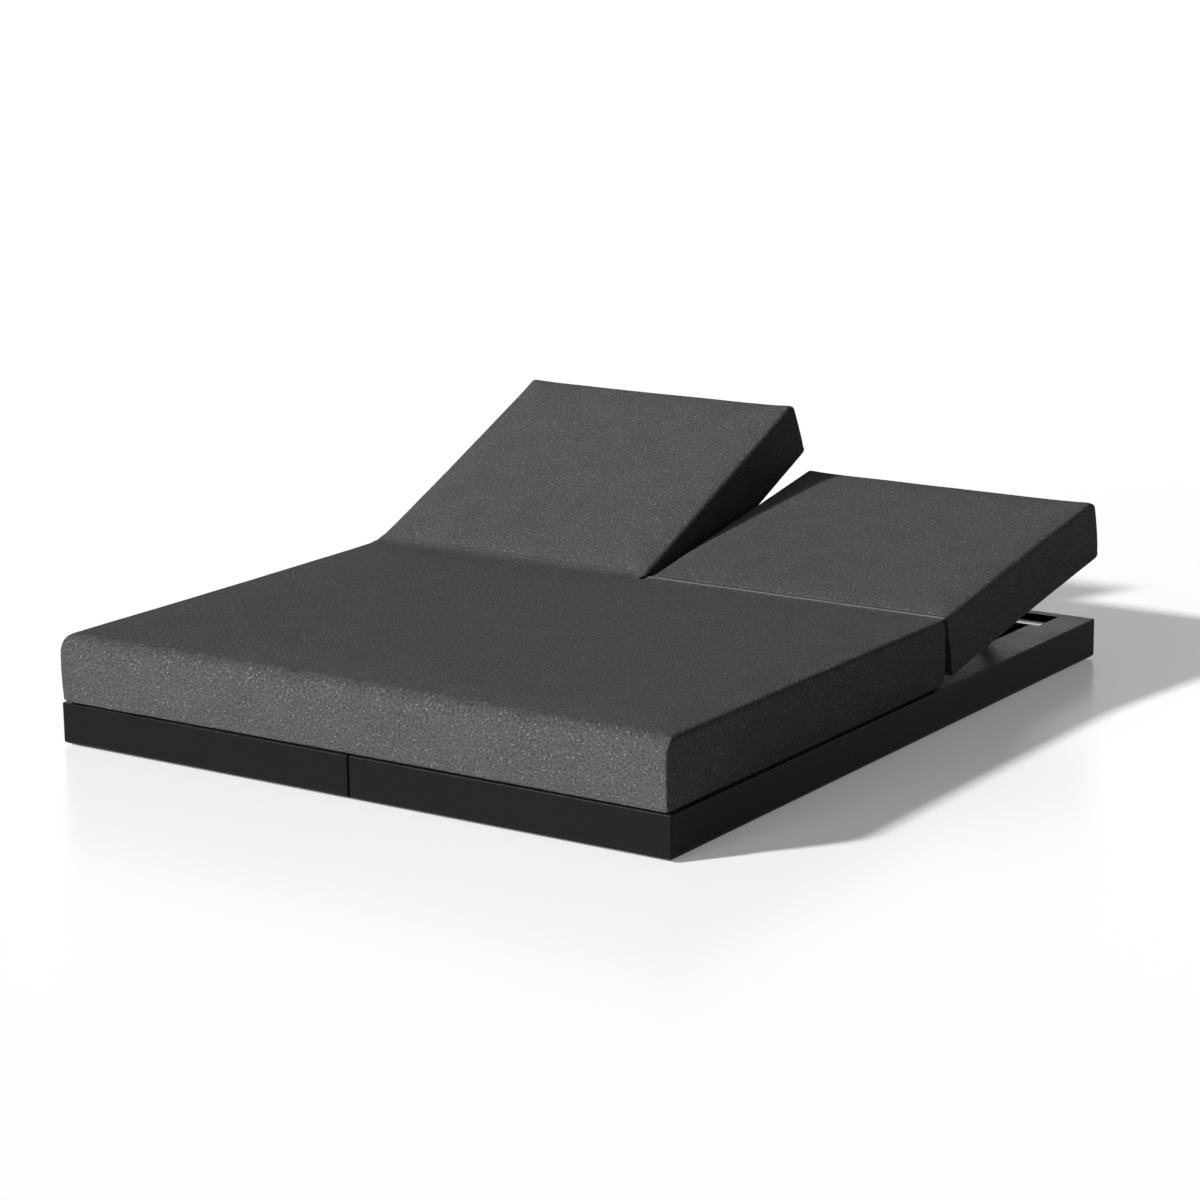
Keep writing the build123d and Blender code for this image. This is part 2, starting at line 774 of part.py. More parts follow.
def make_slats(side):
    """Flat slats across the back frame under the cushion, a separate solid each."""
    start_x = side_signs[side] * (frame_low_x + frame_high_x) / 2 - frame_width / 2
    pitch = (frame_end - frame_start - slat_width) / (slat_count - 1)
    with BuildPart() as slats:
        for index in range(slat_count):
            slat_y = frame_start + index * pitch
            with BuildSketch(across(back_frame(side), start_x, slat_y, slat_drop)):
                Rectangle(slat_width, slat_thickness, align=(Align.MIN, Align.MIN))
            extrude(amount=frame_width)
    save(slats, f"back_slats_{side}")


def make_bumpers(side):
    """Rubber blocks under the back rails that come down on the rest bar."""
    y = rest_bar_y - seat_end_y
    height = cushion_bottom - base_height - seating_clearance
    with BuildPart() as bumpers:
        for rank in rank_signs:
            x = lift_x(side, rank, roller_offset)
            with BuildSketch(moved(back_frame(side), x, y, track_drop - height)):
                Rectangle(bumper_width, bumper_length)
            extrude(amount=height)
    save(bumpers, f"back_bumpers_{side}")


# Lift frames


def make_bearing(side, rank):
    """The block on a well rail in which one end of the torque tube turns."""
    x = lift_x(side, rank, lift_half)
    frame = level_frame(lift_pivot_y, lift_pivot_height)
    with BuildPart() as bearing:
        with BuildSketch(across(frame, x, 0, 0, -outward(side, rank))):
            RectangleRounded(bearing_length, bearing_height, bearing_corner)
            Circle(torque_tube_radius + running_clearance, mode=Mode.SUBTRACT)
        extrude(amount=bearing_thickness)
        with Locations(*bearing_screw_planes(side, rank)):
            cut_screw_seats()
    save(bearing, f"lift_bearing_{side}_{rank}")


def make_ratchet(side):
    """The drum of the self-locking ratchet, around the torque tube at its outer bearing."""
    x = lift_x(side, "outer", lift_half - bearing_thickness)
    plane = across(level_frame(lift_pivot_y, lift_pivot_height), x, 0, 0, -outward(side, "outer"))
    with BuildPart() as drum:
        with BuildSketch(plane):
            Circle(ratchet_radius)
        extrude(amount=ratchet_width)
        chamfer(drum.edges(), ratchet_edge)
        with BuildSketch(plane):
            Circle(torque_tube_radius + seating_clearance)
        extrude(amount=ratchet_width, mode=Mode.SUBTRACT)
    save(drum, f"ratchet_housing_{side}")


def make_torque_tube(side):
    """The tube that ties the two arms of a lift frame, between the faces of the well rails."""
    half = lift_half - seating_clearance
    start_x = side_signs[side] * lift_middle_x - half
    with BuildPart() as tube:
        with BuildSketch(across(lift_frame(side), start_x, 0, 0)):
            Circle(torque_tube_radius)
            Circle(torque_tube_radius - torque_tube_wall, mode=Mode.SUBTRACT)
        extrude(amount=2 * half)
    save(tube, f"torque_tube_{side}")


def make_lift_arm(side, rank):
    """A tapered arm from the torque tube to the roller."""
    x = lift_x(side, rank, arm_face)
    with BuildPart() as arm:
        with BuildSketch(across(lift_frame(side), x, 0, 0, -outward(side, rank))):
            Circle(arm_hub_radius)
            with Locations((lift_arm_length, 0)):
                Circle(arm_end_radius)
            make_hull()
            Circle(torque_tube_radius + running_clearance, mode=Mode.SUBTRACT)
            with Locations((lift_arm_length, 0)):
                Circle(roller_pin_radius + running_clearance, mode=Mode.SUBTRACT)
        extrude(amount=arm_thickness)
    save(arm, f"lift_arm_{side}_{rank}")


def make_roller_pins(side):
    """The headed pins that the rollers turn on, a separate solid each."""
    inner_offset = arm_face - arm_thickness
    outer_offset = arm_face + roller_width + 2 * seating_clearance
    frame = lift_frame(side)
    with BuildPart() as pins:
        for rank in rank_signs:
            facing = outward(side, rank)
            inner_x = lift_x(side, rank, inner_offset)
            outer_x = lift_x(side, rank, outer_offset)
            with BuildSketch(across(frame, inner_x, lift_arm_length, 0, facing)):
                Circle(roller_pin_radius)
            extrude(amount=outer_offset - inner_offset)
            with BuildSketch(across(frame, inner_x, lift_arm_length, 0, -facing),
                             across(frame, outer_x, lift_arm_length, 0, facing)):
                Circle(roller_pin_head_radius)
            extrude(amount=roller_pin_head_height)
    save(pins, f"roller_pins_{side}")


def make_roller(side, rank):
    """A roller at the end of a lift arm, under a back rail."""
    x = lift_x(side, rank, arm_face + seating_clearance)
    plane = across(lift_frame(side), x, lift_arm_length, 0, outward(side, rank))
    with BuildPart() as roller:
        with BuildSketch(plane):
            Circle(roller_radius)
        extrude(amount=roller_width)
        chamfer(roller.edges(), roller_edge)
        with BuildSketch(plane):
            Circle(roller_pin_radius + running_clearance)
        extrude(amount=roller_width, mode=Mode.SUBTRACT)
    save(roller, f"lift_roller_{side}_{rank}")


make_glides()
make_seat_board()
make_joining_plates()
make_screws()
make_rail_bolts()
make_seat_cushion()
for side in side_signs:
    make_plinth(side)
    make_rest_bar(side)
    make_back_cushion(side)
    make_hinge_cover(side)
    make_hinge_pins(side)
    make_cross_rail(side, "foot_rail", frame_start)
    make_cross_rail(side, "head_rail", frame_end - back_tube_width)
    make_slats(side)
    make_bumpers(side)
    make_ratchet(side)
    make_torque_tube(side)
    make_roller_pins(side)
    for rank in rank_signs:
        make_well_rail(side, rank)
        make_bearing(side, rank)
        make_seat_leaf(side, rank)
        make_back_leaf(side, rank)
        make_back_rail(side, rank)
        make_lift_arm(side, rank)
        make_roller(side, rank)
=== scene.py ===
"""Looks for the double chaise lounger: fabric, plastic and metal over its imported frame, on a pale stage."""

import json
import math

import bmesh
import bpy
from bpy.props import FloatProperty, FloatVectorProperty, PointerProperty
from mathutils import Matrix, Vector, noise


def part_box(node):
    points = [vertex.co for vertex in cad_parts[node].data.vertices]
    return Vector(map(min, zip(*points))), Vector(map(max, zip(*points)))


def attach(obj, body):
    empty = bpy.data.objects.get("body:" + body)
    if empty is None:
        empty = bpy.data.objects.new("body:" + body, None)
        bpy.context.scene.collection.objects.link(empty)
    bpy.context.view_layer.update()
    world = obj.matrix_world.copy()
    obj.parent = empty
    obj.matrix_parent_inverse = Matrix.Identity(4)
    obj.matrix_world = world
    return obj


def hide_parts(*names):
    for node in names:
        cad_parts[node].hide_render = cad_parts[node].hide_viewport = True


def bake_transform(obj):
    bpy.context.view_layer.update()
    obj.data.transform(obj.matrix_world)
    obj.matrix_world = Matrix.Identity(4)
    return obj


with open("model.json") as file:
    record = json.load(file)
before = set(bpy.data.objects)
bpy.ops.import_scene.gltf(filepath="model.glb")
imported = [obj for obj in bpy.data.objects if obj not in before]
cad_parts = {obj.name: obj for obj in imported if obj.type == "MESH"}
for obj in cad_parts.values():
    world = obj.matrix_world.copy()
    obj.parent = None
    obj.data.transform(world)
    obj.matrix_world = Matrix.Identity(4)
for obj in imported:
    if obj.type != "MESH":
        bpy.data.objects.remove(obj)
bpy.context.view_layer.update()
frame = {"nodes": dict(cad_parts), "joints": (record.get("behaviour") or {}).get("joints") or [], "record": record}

bl_info = {
    "name": "Double Chaise Lounger",
    "version": (1, 0, 0),
    "blender": (4, 5, 0),
    "location": "3D View > Sidebar > Lounger",
    "description": "Builds the cushions, hinge strips, finishes and stage of a double chaise lounger",
    "category": "Object",
}

SIDES = {"left": -1, "right": 1}
JOINTS = {joint["name"]: joint for joint in frame["joints"]}
STOP_LIMIT = 1e-6
NODE_STEP = 180.0

# Cushion values: shares, counts and lengths in metres

WIDEST_SHARE = 0.55
ROUND_STEPS = 9
SEAM_SPREAD = 0.002
SLOW_RIPPLES = 5.0
QUICK_RIPPLES = 16.0
QUICK_SHARE = 0.5
BACK_SEED = 3.0

# Cloth values of the cover as it swells

CLOTH_QUALITY = 6
CLOTH_MASS = 0.4
STRETCH_STIFFNESS = 25.0
SHEAR_STIFFNESS = 10.0
BENDING_STIFFNESS = 2.0
PRESSURE = 4.0
SWELL_FRAMES = 20

# Hinge strip values: shares, counts, rates per metre and lengths in metres

STRIP_STEPS = (220, 30)
INNER_MARGIN = 0.003
OUTER_MARGIN = 0.006
BEND_WIDTH = 0.014
NEAR_FLAT = math.radians(15)
OPEN_BEAD_SHARE = 0.2
BEAD_REACH = 0.0022
BEAD_CHANGE = 0.25
BEAD_RATE = 60.0
BEAD_SEED = 3.0
WAVER = 0.0009
WAVER_RATE = 22.0
WAVER_SEED = 7.0
SINK = 0.0025
SINK_START = 0.3

# Weave values: the parts of a noise's range that count, and strengths

MOST_NOISE = (0.3, 0.7)
YARN_STRETCHES = ((0.55, 1.0, 1.0), (1.0, 0.6, 1.0))
YARN_RANGE = (0.82, 1.20)
CLOUD_SCALE = 9.0
CLOUD_DEPTH = 0.07
FLECK_SCALE = 0.9
FLECK_PICK = (0.86, 0.90)
FLECK_EDGE = (0.42, 0.22)
FLECK_STRENGTH = 0.75
# Painted shade in the gaps between the threads: how much darker a gap gets, and the weave height below which a
# point counts as a gap
PAINTED_GAP_SHADE = 0.55
THREAD_HOLLOW = 0.5
YARN_RISE = 0.5
WEAVE_DEPTH = 0.0006
WEAVE_BUMP = 0.6
BLACK = (0.0, 0.0, 0.0, 1.0)

# Grain values of the hard finishes: size and depth of each grain in metres, and strengths

PLASTIC_GRAIN = (0.0011, 0.00008)
RUBBER_GRAIN = (0.0016, 0.0002)
BOARD_GRAIN = (0.0014, 0.0001)
PAINT_GRAIN = (0.0022, 0.0002)
NYLON_GRAIN = (0.0012, 0.0001)
GRAIN_BUMP = 0.5
PATCH_SCALE = 6.0
PATCH_DEPTH = 0.05
UPWARD_RANGE = (0.6, 1.0)
DUSTY_RANGE = (0.35, 0.75)
DUST_COLOUR = (0.35, 0.34, 0.32, 1.0)
DUST_ROUGHENING = 2.0
BRUSH_STRETCH = (6.0, 900.0, 900.0)
BRUSH_SHADE = 0.8
BRUSH_ROUGHENING = 0.06
BRUSH_DEPTH = 0.0001
BRUSH_BUMP = 0.4


# Sizes and colours that a user would change


def length(name, default, description):
    """A length setting in metres."""
    return FloatProperty(name=name, default=default, description=description, unit="LENGTH", precision=4)


def share(name, default, description):
    """A setting from 0 to 1."""
    return FloatProperty(name=name, default=default, description=description, min=0.0, max=1.0)


def colour(name, default, description):
    """A linear colour setting."""
    return FloatVectorProperty(name=name, default=default, description=description,
                               subtype="COLOR", size=3, min=0.0, max=1.0)


def angle(name, default, description):
    """An angle setting, given in degrees."""
    return FloatProperty(name=name, default=math.radians(default), description=description, subtype="ANGLE")


def amount(name, default, description):
    """A plain number setting."""
    return FloatProperty(name=name, default=default, description=description)


class CushionSettings(bpy.types.PropertyGroup):
    """Shape of the cushions and the strips between them."""

    side_round: length("Side round", 0.014, "Round of the top edges along the sides")
    foot_round: length("Foot round", 0.045, "Round of the seat's top edge at the foot end")
    head_round: length("Head round", 0.024, "Round of the backs' top edges at the head end")
    seam_round: length("Seam round", 0.016, "Round of the top edges along the hinge line")
    low_round: length("Low round", 0.005, "Round of the bottom edges")
    heel_round: length("Heel round", 0.022, "Round of the seat's bottom edge at the hinge line")
    corner: length("Corner", 0.009, "Round of the upright corners, seen from above")
    seam_corner: length("Seam corner", 0.003, "Round of the upright corners along the hinge line")
    solid_crown: length("Solid crown", 0.004, "Rise of the solid's top towards its middle")
    crown: length("Crown", 0.003, "Rise of the top towards its middle before it swells")
    draw_in: length("Draw-in", 0.004, "How far a free side pulls in between its corners")
    tuck: length("Tuck", 0.002, "How far a free side is drawn in at its bottom edge")
    lean: length("Lean", 0.002, "How far a free side leans in at its top edge")
    spacing: length("Spacing", 0.024, "Size of the cover's faces before they are divided")
    slack: length("Slack", 0.0015, "How much smaller the cover starts before it swells")
    growth: length("Growth", 0.0045, "How much further out a free side starts, before swelling draws it back")
    swell: length("Swell", 0.004, "Furthest that pressure may move a point of the cover")
    ripple: length("Ripple", 0.0006, "Height of the slow unevenness of the cover")
    seam_height: length("Seam height", 0.016, "Height of the sewn seam around the lower edge")
    seam_depth: length("Seam depth", 0.0013, "How deep that seam draws the cover in")
    recess_margin: length("Recess margin", 0.008, "How much wider than its frame a back's recess is")
    recess_wall: length("Recess wall", 0.001, "How far the recess wall leans")
    recess_fade: length("Recess fade", 0.060, "Height over which the recess fades out at the seam")
    strip_reach: length("Strip reach", 0.030, "How far a hinge strip runs to each side of the hinge line")
    strip_thickness: length("Strip thickness", 0.0014, "Thickness of a hinge strip")
    bead: length("Bead", 0.0032, "Height of the sewn bead along a hinge strip")


class FabricSettings(bpy.types.PropertyGroup):
    """Melange fabric of the cushions and hinge strips."""

    shade: colour("Shade", (0.041, 0.042, 0.044), "Dark yarn")
    light: colour("Light", (0.102, 0.103, 0.106), "Light yarn")
    fleck: colour("Fleck", (0.28, 0.28, 0.28), "Bright flecks in the yarn")
    thread: length("Thread", 0.0016, "Distance from one thread to the next")
    speckle: length("Speckle", 0.0044, "Size of the light and dark patches")
    roughness: share("Roughness", 0.92, "Roughness of the yarn")
    gloss: share("Gloss", 0.03, "Strength of the yarn's gloss")
    sheen: share("Sheen", 0.02, "Strength of the soft light along the yarn's edges")
    sheen_roughness: share("Sheen roughness", 0.5, "How wide that light spreads")
    # Painted highlight: a lighter line of the fleck colour along the middle of the nearly flat back's hinge strip,
    # where its bead catches the light
    stitch: share("Painted bead highlight", 0.35, "Strength of the light painted highlight line along the nearly flat back's strip")
    painted_bead_highlight_width: length("Stitch width", 0.004, "Half the width over which the painted highlight line fades")


class HardSettings(bpy.types.PropertyGroup):
    """Plastics, rubber and metals."""

    plastic: colour("Plastic", (0.0060, 0.0062, 0.0065), "Moulded plastic of the plinth")
    board: colour("Board", (0.006, 0.006, 0.006), "Board under the seat cushion")
    rubber: colour("Rubber", (0.012, 0.012, 0.012), "Glides and bumpers")
    nylon: colour("Nylon", (0.03, 0.03, 0.032), "Bearings and rollers")
    paint: colour("Paint", (0.022, 0.022, 0.024), "Powder coat of the tubes")
    steel: colour("Steel", (0.36, 0.37, 0.38), "Zinc-plated screws, hinges and pins")
    bar: colour("Bar", (0.62, 0.62, 0.61), "Anodised rest bars")
    plastic_roughness: share("Plastic roughness", 0.28, "Roughness of the plinth's plastic")
    plastic_dust: share("Plastic dust", 0.03, "Dust on the upper faces of the plinth")
    plastic_gloss: share("Plastic gloss", 0.05, "Strength of the gloss of the plinth's plastic")
    board_roughness: share("Board roughness", 0.6, "Roughness of the board")
    rubber_roughness: share("Rubber roughness", 0.75, "Roughness of glides and bumpers")
    rubber_dust: share("Rubber dust", 0.02, "Dust on the upper faces of the rubber")
    nylon_roughness: share("Nylon roughness", 0.5, "Roughness of bearings and rollers")
    nylon_dust: share("Nylon dust", 0.01, "Dust on the upper faces of bearings and rollers")
    paint_roughness: share("Paint roughness", 0.45, "Roughness of the powder coat")
    paint_dust: share("Paint dust", 0.03, "Dust on the upper faces of the tubes")
    steel_roughness: share("Steel roughness", 0.3, "Roughness of screws, hinges and pins")
    bar_roughness: share("Bar roughness", 0.35, "Roughness of the rest bars")


class StageSettings(bpy.types.PropertyGroup):
    """Camera, floor and lights."""

    azimuth: angle("Azimuth", 34.243, "Angle of the camera round the lounger, from the foot end")
    elevation: angle("Elevation", 13.564, "Angle of the camera above the floor")
    roll: angle("Roll", -0.731, "Turn of the camera about its own line of sight")
    distance: length("Distance", 9.7175, "From the camera to the point that it looks at")
    look_at: FloatVectorProperty(name="Look at", default=(-0.6179, 0.9137, 0.0), unit="LENGTH",
                                 description="Point on the floor in the middle of the picture")
    lens: amount("Lens", 99.98, "Focal length in millimetres")
    sensor: amount("Sensor", 36.0, "Width of the sensor in millimetres")
    floor_reach: length("Floor reach", 80.0, "Half the width of the floor")
    floor: colour("Floor", (0.75, 0.75, 0.75), "Colour of the floor as the light sees it")
    floor_roughness: share("Floor roughness", 0.22, "Roughness of the floor")
    floor_gloss: share("Floor gloss", 0.15, "Strength of the floor's gloss")
    floor_shown: colour("Shown floor", (0.12, 0.12, 0.12), "Colour added for the camera and gloss")
    floor_glow: amount("Floor glow", 0.18, "Plain glow that the camera and gloss see on the floor")
    backdrop: colour("Backdrop", (0.965, 0.965, 0.965), "Backdrop as the camera and gloss see it")
    backdrop_top: share("Backdrop top", 0.8, "Height in the sky at which the backdrop has faded out")
    key: amount("Key light", 4.7, "Strength of the key light")
    key_turn: angle("Key turn", 53.0, "Direction in which shadows fall, from the right side's")
    key_height: angle("Key height", 30.0, "Angle of the key light above the floor")
    key_spread: angle("Key spread", 4.5, "How wide the key light is, which softens its shadows")
    fill: amount("Fill light", 4.25, "Strength of the light from the foot end")
    fill_turn: angle("Fill turn", 80.0, "Direction in which that light shines, from the right side's")
    fill_spread: angle("Fill spread", 24.0, "How wide the light from the foot end is")
    sky: amount("Sky", 0.095, "Strength of the light from all round")


# Mesh helpers


def finish_mesh(name, bm, material):
    """A smooth-shaded object from a bmesh, with its place in its mesh."""
    mesh = bpy.data.meshes.new(name)
    bm.to_mesh(mesh)
    bm.free()
    mesh.materials.append(material)
    for polygon in mesh.polygons:
        polygon.use_smooth = True
    made = bpy.data.objects.new(name, mesh)
    bpy.context.scene.collection.objects.link(made)
    return made


def even_stops(low, high, spacing):
    """Places from low to high at about the spacing, without low itself."""
    count = max(1, round((high - low) / spacing))
    return [low + (high - low) * step / count for step in range(1, count + 1)]


def divide(bm, axis, cuts):
    """Cut every edge of the block that runs along an axis into equal lengths."""
    edges = []
    for edge in bm.edges:
        run = edge.verts[1].co - edge.verts[0].co
        if abs(run[axis]) > STOP_LIMIT:
            edges.append(edge)
    bmesh.ops.subdivide_edges(bm, edges=edges, cuts=cuts, use_grid_fill=True)


def grid_block(stops):
    """A block of faces cut at the stops of each axis, its corners at the first and last stops."""
    bm = bmesh.new()
    bmesh.ops.create_cube(bm, size=1.0)
    for axis in range(3):
        divide(bm, axis, len(stops[axis]) - 2)
    for vertex in bm.verts:
        for axis in range(3):
            index = round((vertex.co[axis] + 0.5) * (len(stops[axis]) - 1))
            vertex.co[axis] = stops[axis][index]
    return bm


def flat_map(bm, low, high):
    """UVs in metres that run on from the top over the sides, for the weave."""
    layer = bm.loops.layers.uv.new("weave")
    for face in bm.faces:
        normal = face.normal.copy()
        for loop in face.loops:
            x, y, z = loop.vert.co
            drop = high.z - z
            x += round(normal.x) * drop
            y += round(normal.y) * drop
            loop[layer].uv = (x, y)


# Cushion shape


class Side:
    """Profile of one side of a cushion: how far it stands in at a height."""

    def __init__(self, sizes, top_round, free=True, low_round=None, corner=None):
        self.tuck = sizes.tuck if free else 0.0
        self.lean = sizes.lean if free else 0.0
        self.draw_in = sizes.draw_in if free else 0.0
        self.growth = sizes.growth if free else 0.0
        self.low_round = low_round or sizes.low_round
        self.top_round = top_round
        self.corner = corner or sizes.corner

    def inset(self, z, thickness):
        """Distance in from the side's widest place at a height above the underside."""
        widest = WIDEST_SHARE * thickness
        if z < widest:
            inset = self.tuck * (1 - z / widest) ** 2
        else:
            inset = self.lean * ((z - widest) / (thickness - widest)) ** 2
        if z < self.low_round:
            inset += self.low_round - math.sqrt(self.low_round**2 - (self.low_round - z) ** 2)
        rise = z - thickness + self.top_round
        if rise > 0:
            inset += self.top_round - math.sqrt(max(self.top_round**2 - rise**2, 0.0))
        return inset - self.growth


def upright_levels(sizes, thickness, largest_round):
    """Heights of a cushion's rows: close together in the rounds and at the seam."""
    levels = [0.0]
    for step in range(1, ROUND_STEPS):
        levels.append(sizes.heel_round * (1 - math.cos(math.pi / 2 * step / ROUND_STEPS)))
    seam = sizes.seam_height
    levels = [z for z in levels if z < seam - sizes.low_round / 2]
    levels += [seam - SEAM_SPREAD, seam, seam + SEAM_SPREAD]
    top = thickness - largest_round
    levels += even_stops(levels[-1], top, sizes.spacing)
    for step in range(1, ROUND_STEPS + 1):
        levels.append(top + largest_round * math.sin(math.pi / 2 * step / ROUND_STEPS))
    return levels


def stops_through(places, spacing):
    """Stops at every given place, and evenly spaced ones between them."""
    stops = [places[0]]
    for place in places[1:]:
        stops += even_stops(stops[-1], place, spacing)
    return stops


class Recess:
    """Hollow in the underside of a back cushion that its frame lies in, open at the hinge line."""

    def __init__(self, low_x, high_x, end_y, depth, sizes):
        self.low_x, self.high_x, self.end_y, self.depth = low_x, high_x, end_y, depth
        self.wall, self.fade = sizes.recess_wall, sizes.recess_fade

    def lift(self, x, y, z):
        """How far a point of the block is raised for the recess."""
        if x < self.low_x + STOP_LIMIT or x > self.high_x - STOP_LIMIT or y > self.end_y - STOP_LIMIT:
            return 0.0
        return self.depth * max(0.0, 1 - z / self.fade)


def round_corner(x, y, half_x, half_y, radius):
    """A point of a level section, moved in where the section's corner is round."""
    over_x = abs(x) - (half_x - radius)
    over_y = abs(y) - (half_y - radius)
    if over_x <= 0 or over_y <= 0:
        return x, y
    pull = max(over_x, over_y) / math.hypot(over_x, over_y)
    return (math.copysign(half_x - radius + over_x * pull, x),
            math.copysign(half_y - radius + over_y * pull, y))


def bow(position, half):
    """1 in the middle of an edge and 0 at its ends."""
    return 1 - min(1.0, abs(position / half)) ** 2


def shape_cushion(bm, size, sides, sizes, recess):
    """Round, crown, draw in and hollow a block that stands on z = 0 about its middle."""
    width, depth, thickness = size
    foot, right, head, left = sides
    for vertex in bm.verts:
        x, y, z = vertex.co
        lift = recess.lift(x, y, z) if recess else 0.0
        insets = [side.inset(z, thickness) for side in sides]
        half_x = (width - insets[1] - insets[3]) / 2
        half_y = (depth - insets[0] - insets[2]) / 2
        x *= half_x / (width / 2)
        y *= half_y / (depth / 2)
        end = head if y > 0 else foot
        x, y = round_corner(x, y, half_x, half_y, end.corner)
        pull_x = right.draw_in if x > 0 else left.draw_in
        pull_y = head.draw_in if y > 0 else foot.draw_in
        drawn_x = x * (1 - pull_x * bow(y, half_y) / half_x)
        drawn_y = y * (1 - pull_y * bow(x, half_x) / half_y)
        if thickness - z < STOP_LIMIT:
            z += sizes.crown * math.sqrt(bow(x, half_x) * bow(y, half_y))
        moved_x = drawn_x + (insets[3] - insets[1]) / 2
        moved_y = drawn_y + (insets[0] - insets[2]) / 2
        vertex.co = (moved_x, moved_y, z + lift)


def swell_cover(cover, pinned, furthest):
    """Fill the cover with pressure, keeping the pinned points and how far the rest may move."""
    start = [vertex.co.copy() for vertex in cover.data.vertices]
    held = cover.vertex_groups.new(name="held")
    held.add(pinned, 1.0, "REPLACE")
    cloth = cover.modifiers.new("Swell", "CLOTH")
    settings = cloth.settings
    settings.quality = CLOTH_QUALITY
    settings.mass = CLOTH_MASS
    settings.tension_stiffness = STRETCH_STIFFNESS
    settings.compression_stiffness = STRETCH_STIFFNESS
    settings.shear_stiffness = SHEAR_STIFFNESS
    settings.bending_stiffness = BENDING_STIFFNESS
    settings.use_pressure = True
    settings.uniform_pressure_force = PRESSURE
    settings.effector_weights.gravity = 0.0
    settings.vertex_group_mass = held.name
    scene = bpy.context.scene
    for step in range(1, SWELL_FRAMES + 1):
        scene.frame_set(step)
    swollen = cover.evaluated_get(bpy.context.evaluated_depsgraph_get()).data
    for vertex, origin, target in zip(cover.data.vertices, start, [v.co.copy() for v in swollen.vertices]):
        move = target - origin
        if move.length > STOP_LIMIT:
            move *= furthest * math.tanh(move.length / furthest) / move.length
        vertex.co = origin + move
    cover.modifiers.remove(cloth)
    cover.vertex_groups.remove(held)
    scene.frame_set(1)


def ripple_cover(cover, sizes, seam_rows, seed):
    """Slow unevenness over the whole cover, and the sewn seam drawn in."""
    mesh = cover.data
    moves = []
    for vertex in mesh.vertices:
        place = vertex.co + Vector((seed, seed, 0.0))
        slow = noise.noise(place * SLOW_RIPPLES)
        quick = noise.noise(place * QUICK_RIPPLES)
        move = sizes.ripple * (slow + QUICK_SHARE * quick)
        if vertex.index in seam_rows:
            move -= sizes.seam_depth
        moves.append(vertex.normal * move)
    for vertex, move in zip(mesh.vertices, moves):
        vertex.co += move


def make_cushion(name, size, sides, sizes, place, material, seed, recess=None):
    """A padded cover from a shaped block, swollen, seamed, divided once and put in its place."""
    width, depth, thickness = size
    slack = sizes.slack
    width, depth = width - 2 * slack, depth - 2 * slack
    levels = upright_levels(sizes, thickness, max(side.top_round for side in sides))
    borders = [[], []]
    if recess:
        borders = [[recess.low_x, recess.low_x + recess.wall, recess.high_x - recess.wall, recess.high_x],
                   [recess.end_y - recess.wall, recess.end_y]]
    stops = []
    for reach, places in zip((width / 2, depth / 2), borders):
        inner = reach - sizes.corner
        middle = stops_through([-inner, *places, inner], sizes.spacing)
        near = [step - reach for step in (0.0, sizes.seam_corner / 2, sizes.seam_corner)]
        stops.append([*near, *middle, *[-place for place in reversed(near)]])
    stops.append(levels)
    bm = grid_block(stops)
    bm.normal_update()
    flat_map(bm, Vector((-width / 2, -depth / 2, 0.0)), Vector((width / 2, depth / 2, thickness)))
    seam_rows = {v.index for v in bm.verts if abs(v.co.z - sizes.seam_height) < STOP_LIMIT}
    pinned = [v.index for v in bm.verts if v.co.z < STOP_LIMIT]
    shape_cushion(bm, (width, depth, thickness), sides, sizes, recess)
    cover = finish_mesh(name, bm, material)
    swell_cover(cover, pinned, sizes.swell)
    ripple_cover(cover, sizes, seam_rows, seed)
    divided = cover.modifiers.new("Divide", "SUBSURF")
    divided.levels = divided.render_levels = 1
    cover.data.transform(place)
    return cover


def back_place(side):
    """Rest matrix of a back's own axes: the hinge line's middle, tilted as the back stands open."""
    joint = JOINTS[f"recline_{side}"]
    tilt = -math.radians(joint["range_deg"][0])
    return Matrix.Translation(Vector(joint["pos_m"])) @ Matrix.Rotation(tilt, 4, "X")


def node_extent(node, place):
    """Lowest and highest corner of a CAD node in axes of its own."""
    inverse = place.inverted()
    points = [inverse @ vertex.co for vertex in frame["nodes"][node].data.vertices]
    low = Vector([min(point[axis] for point in points) for axis in range(3)])
    high = Vector([max(point[axis] for point in points) for axis in range(3)])
    return low, high


# Hinge strips


def strip_drop(x, edges, radius):
    """How far a cushion's top has rolled down at an x, near the edges that are round."""
    drop = 0.0
    for edge in edges:
        over = radius - abs(edge - x)
        if over > 0:
            drop += radius - math.sqrt(radius**2 - over**2)
    return drop


